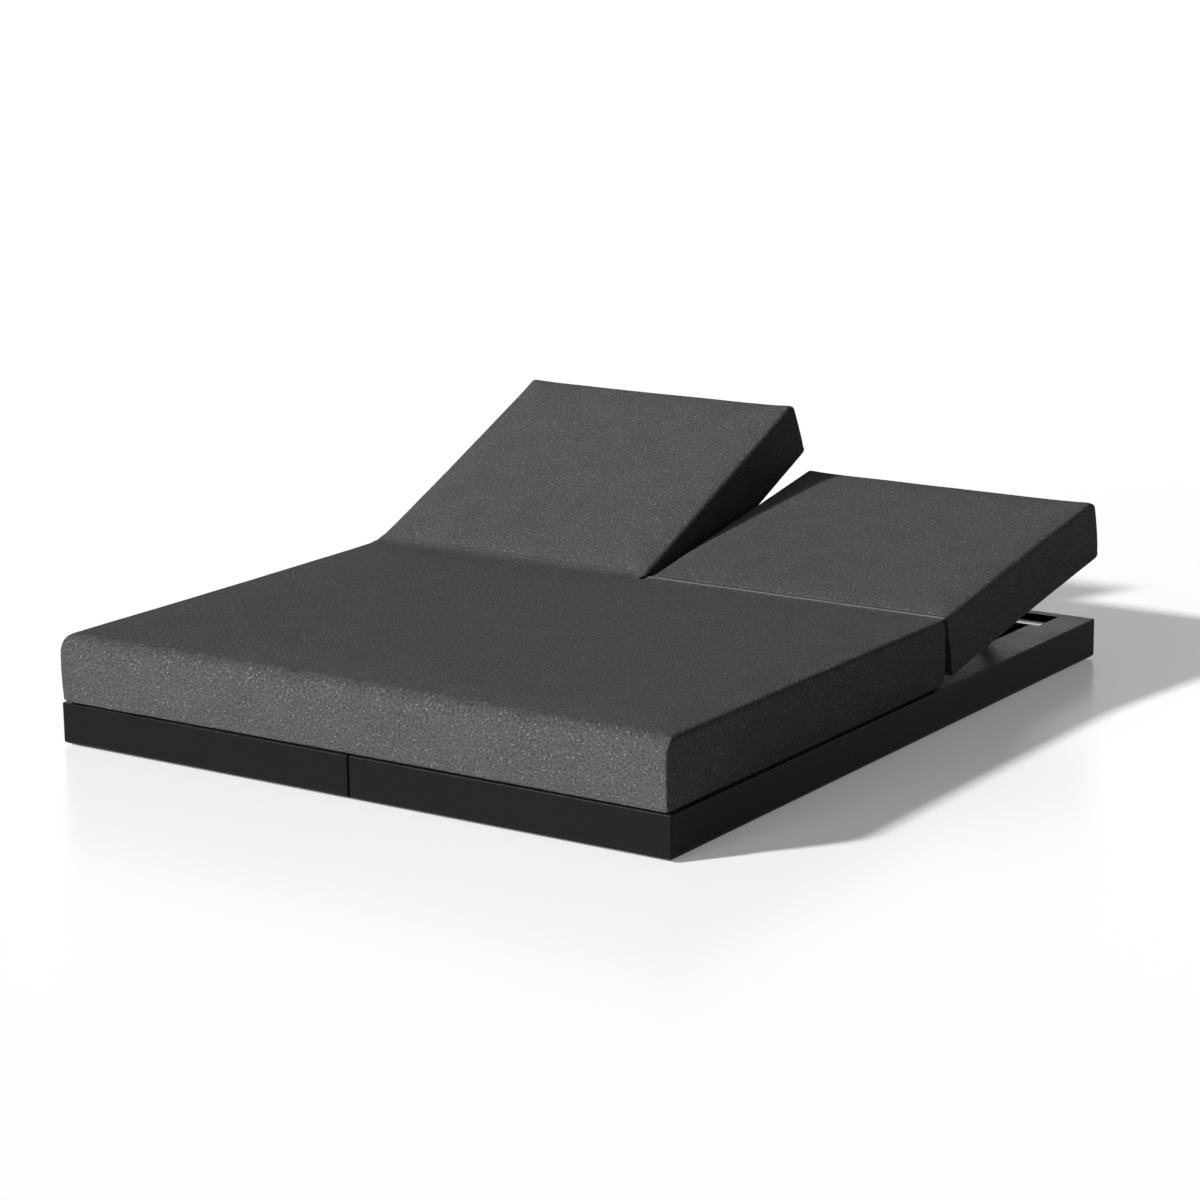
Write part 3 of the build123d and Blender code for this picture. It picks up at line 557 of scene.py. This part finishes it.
class Strip:
    """Shape of the fabric strip over one back's hinge line, from the seat to the back."""

    def __init__(self, side, sizes):
        joint = JOINTS[f"recline_{side}"]
        low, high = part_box(f"back_cushion_{side}")
        self.sizes = sizes
        self.sign = SIDES[side]
        self.tilt = -math.radians(joint["range_deg"][0])
        self.axis = Vector(joint["pos_m"])
        self.outer = high.x if self.sign > 0 else low.x
        self.inner = low.x if self.sign > 0 else high.x
        seat_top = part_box("seat_cushion")[1].z - sizes.solid_crown
        self.top = seat_top - sizes.strip_thickness / 2 - self.axis.z
        self.near_flat = self.tilt < NEAR_FLAT
        self.bead = sizes.bead * (1.0 if self.near_flat else OPEN_BEAD_SHARE)

    def drop(self, x, weight):
        """How far the cushions' tops have rolled down at an x, from the seat's to the back's."""
        radius = self.sizes.side_round
        seat_drop = strip_drop(x, (self.outer,), radius)
        back_drop = strip_drop(x, (self.outer, self.inner), radius)
        return seat_drop + (back_drop - seat_drop) * weight

    def ridge(self, x, y):
        """Height of the sewn bead, which wavers a little about the hinge line."""
        waver = WAVER * noise.noise(Vector((x * WAVER_RATE, self.sign * WAVER_SEED, 0.0)))
        change = BEAD_CHANGE * noise.noise(Vector((x * BEAD_RATE, BEAD_SEED, 0.0)))
        return self.bead * math.exp(-((y - waver) / BEAD_REACH) ** 2) * (1 + change)

    def place(self, along, over):
        """Place of a point given by its shares: along the hinge line, and over it from -1 to 1."""
        first = self.inner + self.sign * INNER_MARGIN
        last = self.outer - self.sign * OUTER_MARGIN
        x = first + (last - first) * along
        y = over * self.sizes.strip_reach
        weight = min(1.0, max(0.0, 0.5 + y / BEND_WIDTH))
        weight = weight * weight * (3 - 2 * weight)
        sink = SINK * max(0.0, abs(over) - SINK_START) / (1 - SINK_START)
        height = self.top - self.drop(x, weight) - sink + self.ridge(x, y)
        point = Vector((0.0, y, height))
        point.rotate(Matrix.Rotation(self.tilt * weight, 3, "X"))
        return (x, self.axis.y + point.y, self.axis.z + point.z)

    def blend_ends(self):
        """Points on the seat's and on the back's side of the bend."""
        back_end = Vector((0.0, BEND_WIDTH / 2, self.top))
        back_end.rotate(Matrix.Rotation(self.tilt, 3, "X"))
        return self.axis + Vector((0.0, -BEND_WIDTH / 2, self.top)), self.axis + back_end


def make_strip(side, sizes, look):
    """A fabric strip with a sewn bead, over the hinge line from the seat to one back."""
    shape = Strip(side, sizes)
    bm = bmesh.new()
    bmesh.ops.create_grid(bm, x_segments=STRIP_STEPS[0], y_segments=STRIP_STEPS[1], size=0.5)
    for vertex in bm.verts:
        vertex.co = shape.place(vertex.co.x + 0.5, 2 * vertex.co.y)
    layer = bm.loops.layers.uv.new("weave")
    for face in bm.faces:
        for loop in face.loops:
            loop[layer].uv = (loop.vert.co.x, loop.vert.co.y - shape.axis.y)
    bmesh.ops.recalc_face_normals(bm, faces=bm.faces)
    bmesh.ops.solidify(bm, geom=bm.faces[:], thickness=sizes.strip_thickness)
    # Only the nearly flat back's strip gets the painted highlight line along its bead
    material = fabric_material(f"Strip fabric {side}", look, look.stitch if shape.near_flat else 0.0)
    strip = finish_mesh(f"hinge_strip_{side}", bm, material)
    start, end = shape.blend_ends()
    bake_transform(strip)
    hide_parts(f"hinge_cover_{side}")


# Shader helpers


def put(tree, kind, inputs=None, **settings):
    """A shader node with its settings, whose inputs are given values or linked to sockets."""
    made = tree.nodes.new(kind)
    made.location.x = NODE_STEP * len(tree.nodes)
    for key, value in settings.items():
        setattr(made, key, value)
    for key, value in (inputs or {}).items():
        if isinstance(value, bpy.types.NodeSocket):
            tree.links.new(value, made.inputs[key])
        else:
            made.inputs[key].default_value = value
    return made


def sum_of(tree, operation, first, second, clamp=False):
    """The output of a Math node on two values or sockets."""
    made = put(tree, "ShaderNodeMath", {0: first, 1: second}, operation=operation, use_clamp=clamp)
    return made.outputs[0]


def spread(tree, value, low, high, to_low=0.0, to_high=1.0):
    """A value taken from one range to another."""
    inputs = {"Value": value, "From Min": low, "From Max": high, "To Min": to_low, "To Max": to_high}
    return put(tree, "ShaderNodeMapRange", inputs).outputs["Result"]


def blend_colours(tree, factor, first, second):
    """Two colours mixed by a factor."""
    mix = put(tree, "ShaderNodeMix", {0: factor, 6: first, 7: second}, data_type="RGBA")
    return mix.outputs[2]


def opaque(rgb):
    """A colour setting with its alpha."""
    return (*rgb, 1.0)


def new_group(name, inputs, outputs):
    """An empty node group with its sockets, and its input and output nodes."""
    group = bpy.data.node_groups.new(name, "ShaderNodeTree")
    for label, kind in inputs.items():
        group.interface.new_socket(label, in_out="INPUT", socket_type=f"NodeSocket{kind}")
    for label, kind in outputs.items():
        group.interface.new_socket(label, in_out="OUTPUT", socket_type=f"NodeSocket{kind}")
    return group, put(group, "NodeGroupInput").outputs, put(group, "NodeGroupOutput").inputs


def melange_group():
    """Plain weave of melange yarn: light and dark patches, flecks and threads, with painted shade in the gaps
    between the threads.
    """
    name = "Melange weave"
    if name in bpy.data.node_groups:
        return bpy.data.node_groups[name]
    inputs = {"Vector": "Vector", "Thread": "Float", "Speckle": "Float",
              "Shade": "Color", "Light": "Color", "Fleck": "Color"}
    group, given, out = new_group(name, inputs, {"Color": "Color", "Height": "Float"})
    per_speckle = sum_of(group, "DIVIDE", 1.0, given["Speckle"])
    patches = []
    for stretch in YARN_STRETCHES:
        drawn = put(group, "ShaderNodeVectorMath", {0: given["Vector"], 1: stretch}, operation="MULTIPLY")
        grain = put(group, "ShaderNodeTexNoise", {"Vector": drawn.outputs[0], "Scale": per_speckle,
                                                  "Detail": 3.0, "Roughness": 0.65})
        patches.append(grain.outputs["Fac"])
    patch = sum_of(group, "ADD", patches[0], patches[1])
    yarn = spread(group, patch, *YARN_RANGE)
    clouds = put(group, "ShaderNodeTexNoise", {"Vector": given["Vector"], "Scale": CLOUD_SCALE,
                                               "Detail": 2.0})
    cloud = spread(group, clouds.outputs["Fac"], *MOST_NOISE, -CLOUD_DEPTH, CLOUD_DEPTH)
    yarn = sum_of(group, "ADD", yarn, cloud, clamp=True)
    base = blend_colours(group, yarn, given["Shade"], given["Light"])
    cells = put(group, "ShaderNodeTexVoronoi", {"Vector": given["Vector"],
                                                "Scale": sum_of(group, "MULTIPLY", per_speckle, FLECK_SCALE)})
    picked = put(group, "ShaderNodeSeparateColor", {"Color": cells.outputs["Color"]}).outputs["Red"]
    fleck = sum_of(group, "MULTIPLY", spread(group, picked, *FLECK_PICK),
                   spread(group, cells.outputs["Distance"], *FLECK_EDGE))
    flecked = blend_colours(group, sum_of(group, "MULTIPLY", fleck, FLECK_STRENGTH), base, given["Fleck"])
    axes = put(group, "ShaderNodeSeparateXYZ", {"Vector": given["Vector"]}).outputs
    turn = sum_of(group, "DIVIDE", math.pi, given["Thread"])
    waves = []
    for axis in ("X", "Y"):
        waves.append(sum_of(group, "SINE", sum_of(group, "MULTIPLY", axes[axis], turn), 0.0))
    over = sum_of(group, "GREATER_THAN", sum_of(group, "MULTIPLY", waves[0], waves[1]), 0.0)
    ridges = [sum_of(group, "ABSOLUTE", wave, 0.0) for wave in waves]
    crossed = put(group, "ShaderNodeMix", {0: over, 2: ridges[0], 3: ridges[1]}, data_type="FLOAT")
    height = crossed.outputs[0]
    # Painted shade: the colour darkens towards black in the low gaps between the threads, where the weave's own
    # shade would fall
    hollow = spread(group, height, 0.0, THREAD_HOLLOW, PAINTED_GAP_SHADE, 0.0)
    group.links.new(blend_colours(group, hollow, flecked, BLACK), out["Color"])
    raised = sum_of(group, "ADD", height, sum_of(group, "MULTIPLY", yarn, YARN_RISE))
    group.links.new(raised, out["Height"])
    return group


def grain_group():
    """Fine moulded or coated grain with slow patches and a little dust on what faces up."""
    name = "Surface grain"
    if name in bpy.data.node_groups:
        return bpy.data.node_groups[name]
    inputs = {"Vector": "Vector", "Grain": "Float", "Base": "Color", "Roughness": "Float", "Dust": "Float"}
    group, given, out = new_group(name, inputs, {"Color": "Color", "Roughness": "Float", "Height": "Float"})
    fine = put(group, "ShaderNodeTexNoise", {"Vector": given["Vector"], "Detail": 2.0,
                                             "Scale": sum_of(group, "DIVIDE", 1.0, given["Grain"])})
    slow = put(group, "ShaderNodeTexNoise", {"Vector": given["Vector"], "Scale": PATCH_SCALE,
                                             "Detail": 4.0, "Roughness": 0.6})
    patch = spread(group, slow.outputs["Fac"], *MOST_NOISE, -PATCH_DEPTH, PATCH_DEPTH)
    normal = put(group, "ShaderNodeNewGeometry").outputs["Normal"]
    upward = put(group, "ShaderNodeSeparateXYZ", {"Vector": normal}).outputs["Z"]
    lying = sum_of(group, "MULTIPLY", spread(group, upward, *UPWARD_RANGE),
                   spread(group, slow.outputs["Fac"], *DUSTY_RANGE))
    dust = sum_of(group, "MULTIPLY", lying, given["Dust"])
    group.links.new(blend_colours(group, dust, given["Base"], DUST_COLOUR), out["Color"])
    rougher = sum_of(group, "ADD", patch, sum_of(group, "MULTIPLY", dust, DUST_ROUGHENING))
    rough = sum_of(group, "ADD", given["Roughness"], rougher)
    group.links.new(put(group, "ShaderNodeClamp", {"Value": rough}).outputs[0], out["Roughness"])
    group.links.new(fine.outputs["Fac"], out["Height"])
    return group


def brushed_group():
    """Fine lines along the lounger's width, as drawn or brushed metal has."""
    name = "Brushed lines"
    if name in bpy.data.node_groups:
        return bpy.data.node_groups[name]
    inputs = {"Vector": "Vector", "Base": "Color", "Roughness": "Float"}
    group, given, out = new_group(name, inputs, {"Color": "Color", "Roughness": "Float", "Height": "Float"})
    drawn = put(group, "ShaderNodeVectorMath", {0: given["Vector"], 1: BRUSH_STRETCH}, operation="MULTIPLY")
    lines = put(group, "ShaderNodeTexNoise", {"Vector": drawn.outputs[0], "Scale": 1.0, "Detail": 3.0})
    factor = lines.outputs["Fac"]
    darker = put(group, "ShaderNodeVectorMath", {0: given["Base"], "Scale": BRUSH_SHADE}, operation="SCALE")
    group.links.new(blend_colours(group, factor, darker.outputs[0], given["Base"]), out["Color"])
    rougher = spread(group, factor, *MOST_NOISE, -BRUSH_ROUGHENING, BRUSH_ROUGHENING)
    group.links.new(sum_of(group, "ADD", given["Roughness"], rougher), out["Roughness"])
    group.links.new(factor, out["Height"])
    return group


def new_material(name):
    """An empty node material and its Principled shader."""
    material = bpy.data.materials.new(name)
    material.use_nodes = True
    tree = material.node_tree
    return material, tree, tree.nodes["Principled BSDF"]


def grouped(tree, group, inputs):
    """A node group placed in a material, with its inputs."""
    made = put(tree, "ShaderNodeGroup", node_tree=group)
    for key, value in inputs.items():
        if isinstance(value, bpy.types.NodeSocket):
            tree.links.new(value, made.inputs[key])
        else:
            made.inputs[key].default_value = value
    return made.outputs


def bump(tree, shader, height, distance, strength):
    """Height that shows as bump on a shader."""
    raised = put(tree, "ShaderNodeBump", {"Height": height, "Distance": distance, "Strength": strength})
    tree.links.new(raised.outputs["Normal"], shader.inputs["Normal"])


def fabric_material(name, look, stitch=0.0):
    """Charcoal melange weave on a piece's own UVs, with a light painted highlight line along its middle."""
    material, tree, shader = new_material(name)
    flat = put(tree, "ShaderNodeUVMap", uv_map="weave").outputs["UV"]
    weave = grouped(tree, melange_group(), {
        "Vector": flat, "Thread": look.thread, "Speckle": look.speckle, "Shade": opaque(look.shade),
        "Light": opaque(look.light), "Fleck": opaque(look.fleck)})
    shown = weave["Color"]
    # Painted highlight: the fleck colour blended in along the strip's middle, standing in for the light on the
    # sewn bead
    if stitch > 0:
        run = put(tree, "ShaderNodeSeparateXYZ", {"Vector": flat}).outputs["Y"]
        near = spread(tree, sum_of(tree, "ABSOLUTE", run, 0.0), look.painted_bead_highlight_width, look.painted_bead_highlight_width / 2)
        shown = blend_colours(tree, sum_of(tree, "MULTIPLY", near, stitch), shown, opaque(look.fleck))
    tree.links.new(shown, shader.inputs["Base Color"])
    shader.inputs["Roughness"].default_value = look.roughness
    shader.inputs["Specular IOR Level"].default_value = look.gloss
    shader.inputs["Sheen Weight"].default_value = look.sheen
    shader.inputs["Sheen Roughness"].default_value = look.sheen_roughness
    bump(tree, shader, weave["Height"], WEAVE_DEPTH, WEAVE_BUMP)
    return material


def hard_material(name, base, roughness, grain, dust=0.0, gloss=0.5):
    """Plastic, rubber or coated metal with a fine grain, given by its size and depth."""
    material, tree, shader = new_material(name)
    place = put(tree, "ShaderNodeTexCoord").outputs["Object"]
    surface = grouped(tree, grain_group(), {
        "Vector": place, "Grain": grain[0], "Base": opaque(base), "Roughness": roughness, "Dust": dust})
    tree.links.new(surface["Color"], shader.inputs["Base Color"])
    tree.links.new(surface["Roughness"], shader.inputs["Roughness"])
    shader.inputs["Specular IOR Level"].default_value = gloss
    bump(tree, shader, surface["Height"], grain[1], GRAIN_BUMP)
    return material


def brushed_material(name, base, roughness):
    """Bare metal with fine lines."""
    material, tree, shader = new_material(name)
    place = put(tree, "ShaderNodeTexCoord").outputs["Object"]
    surface = grouped(tree, brushed_group(), {
        "Vector": place, "Base": opaque(base), "Roughness": roughness})
    tree.links.new(surface["Color"], shader.inputs["Base Color"])
    tree.links.new(surface["Roughness"], shader.inputs["Roughness"])
    shader.inputs["Metallic"].default_value = 1.0
    bump(tree, shader, surface["Height"], BRUSH_DEPTH, BRUSH_BUMP)
    return material


def finish_nodes(slots):
    """Give the CAD nodes of each of the record's material slots their finish."""
    for part in frame["record"]["subparts"]:
        material = slots.get(part["material_slot"])
        if material:
            mesh = frame["nodes"][part["node"]].data
            mesh.materials.clear()
            mesh.materials.append(material)


# Operators


class LOUNGER_OT_seat_cushion(bpy.types.Operator):
    """Make the full-width seat cushion."""

    bl_idname = "lounger.seat_cushion"
    bl_label = "Seat Cushion"

    def execute(self, context):
        sizes = context.scene.lounger_cushions
        low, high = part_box("seat_cushion")
        foot = Side(sizes, sizes.foot_round)
        free = Side(sizes, sizes.side_round)
        heel = Side(sizes, sizes.seam_round, free=False, low_round=sizes.heel_round,
                    corner=sizes.seam_corner)
        size = (high.x - low.x, high.y - low.y, high.z - low.z - sizes.solid_crown)
        place = Matrix.Translation(((low.x + high.x) / 2, (low.y + high.y) / 2, low.z))
        material = fabric_material("Seat fabric", context.scene.lounger_fabric)
        sides = (foot, free, heel, free)
        cover = make_cushion("seat_cushion_cover", size, sides, sizes, place, material, 0.0)
        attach(cover, "base")
        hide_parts("seat_cushion")
        return {"FINISHED"}


class LOUNGER_OT_back_cushions(bpy.types.Operator):
    """Make the two back cushions, each as its back stands open."""

    bl_idname = "lounger.back_cushions"
    bl_label = "Back Cushions"

    def execute(self, context):
        sizes = context.scene.lounger_cushions
        material = fabric_material("Back fabric", context.scene.lounger_fabric)
        free = Side(sizes, sizes.side_round)
        head = Side(sizes, sizes.head_round)
        inner = Side(sizes, sizes.side_round, free=False)
        seam = Side(sizes, sizes.seam_round, free=False, corner=sizes.seam_corner)
        for side, sign in SIDES.items():
            node = f"back_cushion_{side}"
            axes = back_place(side)
            low, high = node_extent(node, axes)
            size = (high.x - low.x, high.y - low.y, high.z - low.z - sizes.solid_crown)
            middle = Vector(((low.x + high.x) / 2, (low.y + high.y) / 2, low.z))
            slats_low, slats_high = node_extent(f"back_slats_{side}", axes)
            margin = sizes.recess_margin
            recess = Recess(slats_low.x - middle.x - margin, slats_high.x - middle.x + margin,
                            slats_high.y - middle.y + margin, slats_high.z - middle.z, sizes)
            place = axes @ Matrix.Translation(middle)
            sides = (seam, free, head, inner) if sign > 0 else (seam, inner, head, free)
            seed = sign * BACK_SEED
            cover = make_cushion(f"{node}_cover", size, sides, sizes, place, material, seed, recess)
            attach(cover, f"back_{side}")
            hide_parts(node)
        return {"FINISHED"}


class LOUNGER_OT_hinge_strips(bpy.types.Operator):
    """Make the fabric strips over the hinge line."""

    bl_idname = "lounger.hinge_strips"
    bl_label = "Hinge Strips"

    def execute(self, context):
        for side in SIDES:
            make_strip(side, context.scene.lounger_cushions, context.scene.lounger_fabric)
        return {"FINISHED"}


class LOUNGER_OT_plinth_finish(bpy.types.Operator):
    """Finish the plinth, its glides and the seat board."""

    bl_idname = "lounger.plinth_finish"
    bl_label = "Plinth Finish"

    def execute(self, context):
        look = context.scene.lounger_hard
        finish_nodes({
            "plinth_plastic": hard_material("Plinth plastic", look.plastic, look.plastic_roughness,
                                            PLASTIC_GRAIN, look.plastic_dust, look.plastic_gloss),
            "glide_rubber": hard_material("Rubber", look.rubber, look.rubber_roughness,
                                          RUBBER_GRAIN, look.rubber_dust),
            "board_plastic": hard_material("Board", look.board, look.board_roughness, BOARD_GRAIN),
        })
        return {"FINISHED"}


class LOUNGER_OT_frame_finish(bpy.types.Operator):
    """Finish the tubes, slats, arms and rest bars."""

    bl_idname = "lounger.frame_finish"
    bl_label = "Frame Finish"

    def execute(self, context):
        look = context.scene.lounger_hard
        finish_nodes({
            "frame_paint": hard_material("Powder coat", look.paint, look.paint_roughness,
                                         PAINT_GRAIN, look.paint_dust),
            "bar_aluminium": brushed_material("Anodised bar", look.bar, look.bar_roughness),
        })
        return {"FINISHED"}


class LOUNGER_OT_hardware_finish(bpy.types.Operator):
    """Finish the hinges, screws, bolts, pins, bearings and rollers."""

    bl_idname = "lounger.hardware_finish"
    bl_label = "Hardware Finish"

    def execute(self, context):
        look = context.scene.lounger_hard
        finish_nodes({
            "steel": brushed_material("Zinc-plated steel", look.steel, look.steel_roughness),
            "bearing_plastic": hard_material("Nylon", look.nylon, look.nylon_roughness,
                                             NYLON_GRAIN, look.nylon_dust),
        })
        return {"FINISHED"}


def make_light(name, turn, height, strength, spread_angle):
    """A distant light that shines along a turn from +X, down from a height."""
    lamp = bpy.data.lights.new(name, "SUN")
    lamp.energy = strength
    lamp.angle = spread_angle
    light = bpy.data.objects.new(name, lamp)
    level = math.cos(height)
    run = Vector((math.cos(turn) * level, math.sin(turn) * level, -math.sin(height)))
    light.matrix_world = run.to_track_quat("-Z", "Y").to_matrix().to_4x4()
    bpy.context.scene.collection.objects.link(light)


def make_floor(look):
    """A wide pale floor that takes shadows and a faint gloss."""
    bm = bmesh.new()
    bmesh.ops.create_grid(bm, x_segments=1, y_segments=1, size=look.floor_reach)
    material, tree, shader = new_material("Pale floor")
    shader.inputs["Base Color"].default_value = opaque(look.floor)
    shader.inputs["Roughness"].default_value = look.floor_roughness
    shader.inputs["Specular IOR Level"].default_value = look.floor_gloss
    path = put(tree, "ShaderNodeLightPath").outputs
    seen = sum_of(tree, "MAXIMUM", path["Is Camera Ray"], path["Is Glossy Ray"])
    extra = blend_colours(tree, seen, BLACK, opaque(look.floor_shown))
    shown = put(tree, "ShaderNodeBsdfDiffuse", {"Color": extra})
    glow = put(tree, "ShaderNodeEmission", {"Strength": sum_of(tree, "MULTIPLY", seen, look.floor_glow)})
    lit = put(tree, "ShaderNodeAddShader", {0: shader.outputs[0], 1: shown.outputs[0]})
    both = put(tree, "ShaderNodeAddShader", {0: lit.outputs[0], 1: glow.outputs[0]})
    tree.links.new(both.outputs[0], tree.nodes["Material Output"].inputs["Surface"])
    finish_mesh("floor", bm, material)


def make_world(look):
    """A plain sky for the light, and a white backdrop for the camera and for gloss."""
    world = bpy.data.worlds.new("Studio")
    bpy.context.scene.world = world
    world.use_nodes = True
    tree = world.node_tree
    path = put(tree, "ShaderNodeLightPath").outputs
    seen = sum_of(tree, "MAXIMUM", path["Is Camera Ray"], path["Is Glossy Ray"])
    seen = sum_of(tree, "MAXIMUM", seen, path["Is Transmission Ray"])
    upward = put(tree, "ShaderNodeTexCoord").outputs["Generated"]
    height = put(tree, "ShaderNodeSeparateXYZ", {"Vector": upward}).outputs["Z"]
    fade = spread(tree, height, look.backdrop_top, look.backdrop_top / 2)
    backdrop = blend_colours(tree, fade, opaque((look.sky,) * 3), opaque(look.backdrop))
    shown = blend_colours(tree, seen, opaque((look.sky,) * 3), backdrop)
    tree.links.new(shown, tree.nodes["Background"].inputs["Color"])


def make_camera(look):
    """The camera at the photograph's viewing angle."""
    data = bpy.data.cameras.new("camera")
    data.lens = look.lens
    data.sensor_width = look.sensor
    data.clip_end = 4 * look.floor_reach
    camera = bpy.data.objects.new("camera", data)
    level = math.cos(look.elevation)
    back = Vector((math.sin(look.azimuth) * level, -math.cos(look.azimuth) * level,
                   math.sin(look.elevation)))
    right = Vector((0.0, 0.0, 1.0)).cross(back).normalized()
    up = back.cross(right)
    turned_right = right * math.cos(look.roll) + up * math.sin(look.roll)
    turned_up = up * math.cos(look.roll) - right * math.sin(look.roll)
    turn = Matrix((turned_right, turned_up, back)).transposed().to_4x4()
    camera.matrix_world = Matrix.Translation(Vector(look.look_at) + back * look.distance) @ turn
    bpy.context.scene.collection.objects.link(camera)
    bpy.context.scene.camera = camera


class LOUNGER_OT_stage(bpy.types.Operator):
    """Make the floor, the lights and the camera."""

    bl_idname = "lounger.stage"
    bl_label = "Stage"

    def execute(self, context):
        look = context.scene.lounger_stage
        make_floor(look)
        make_world(look)
        make_light("key_light", look.key_turn, look.key_height, look.key, look.key_spread)
        make_light("fill_light", look.fill_turn, 0.0, look.fill, look.fill_spread)
        make_camera(look)
        context.scene.view_settings.view_transform = "Standard"
        return {"FINISHED"}


class LOUNGER_PT_panel(bpy.types.Panel):
    """Lists the lounger's operators and settings."""

    bl_label = "Double Chaise Lounger"
    bl_idname = "LOUNGER_PT_panel"
    bl_space_type = "VIEW_3D"
    bl_region_type = "UI"
    bl_category = "Lounger"

    def draw(self, context):
        for operator in OPERATORS:
            self.layout.operator(operator.bl_idname)
        for name, group in SETTINGS.items():
            box = self.layout.box()
            for setting in group.__annotations__:
                box.prop(getattr(context.scene, name), setting)


SETTINGS = {
    "lounger_cushions": CushionSettings,
    "lounger_fabric": FabricSettings,
    "lounger_hard": HardSettings,
    "lounger_stage": StageSettings,
}
OPERATORS = (
    LOUNGER_OT_plinth_finish,
    LOUNGER_OT_frame_finish,
    LOUNGER_OT_hardware_finish,
    LOUNGER_OT_seat_cushion,
    LOUNGER_OT_back_cushions,
    LOUNGER_OT_hinge_strips,
    LOUNGER_OT_stage,
)


def register():
    """Register the settings, the operators and the panel."""
    for name, group in SETTINGS.items():
        bpy.utils.register_class(group)
        setattr(bpy.types.Scene, name, PointerProperty(type=group))
    for made in (*OPERATORS, LOUNGER_PT_panel):
        bpy.utils.register_class(made)


def unregister():
    """Take the panel, the operators and the settings away again."""
    for made in (LOUNGER_PT_panel, *reversed(OPERATORS)):
        bpy.utils.unregister_class(made)
    for name, group in SETTINGS.items():
        delattr(bpy.types.Scene, name)
        bpy.utils.unregister_class(group)


def main():
    """Build every piece in order."""
    register()
    for operator in OPERATORS:
        group, name = operator.bl_idname.split(".")
        getattr(getattr(bpy.ops, group), name)()


if __name__ == "__main__":
    main()
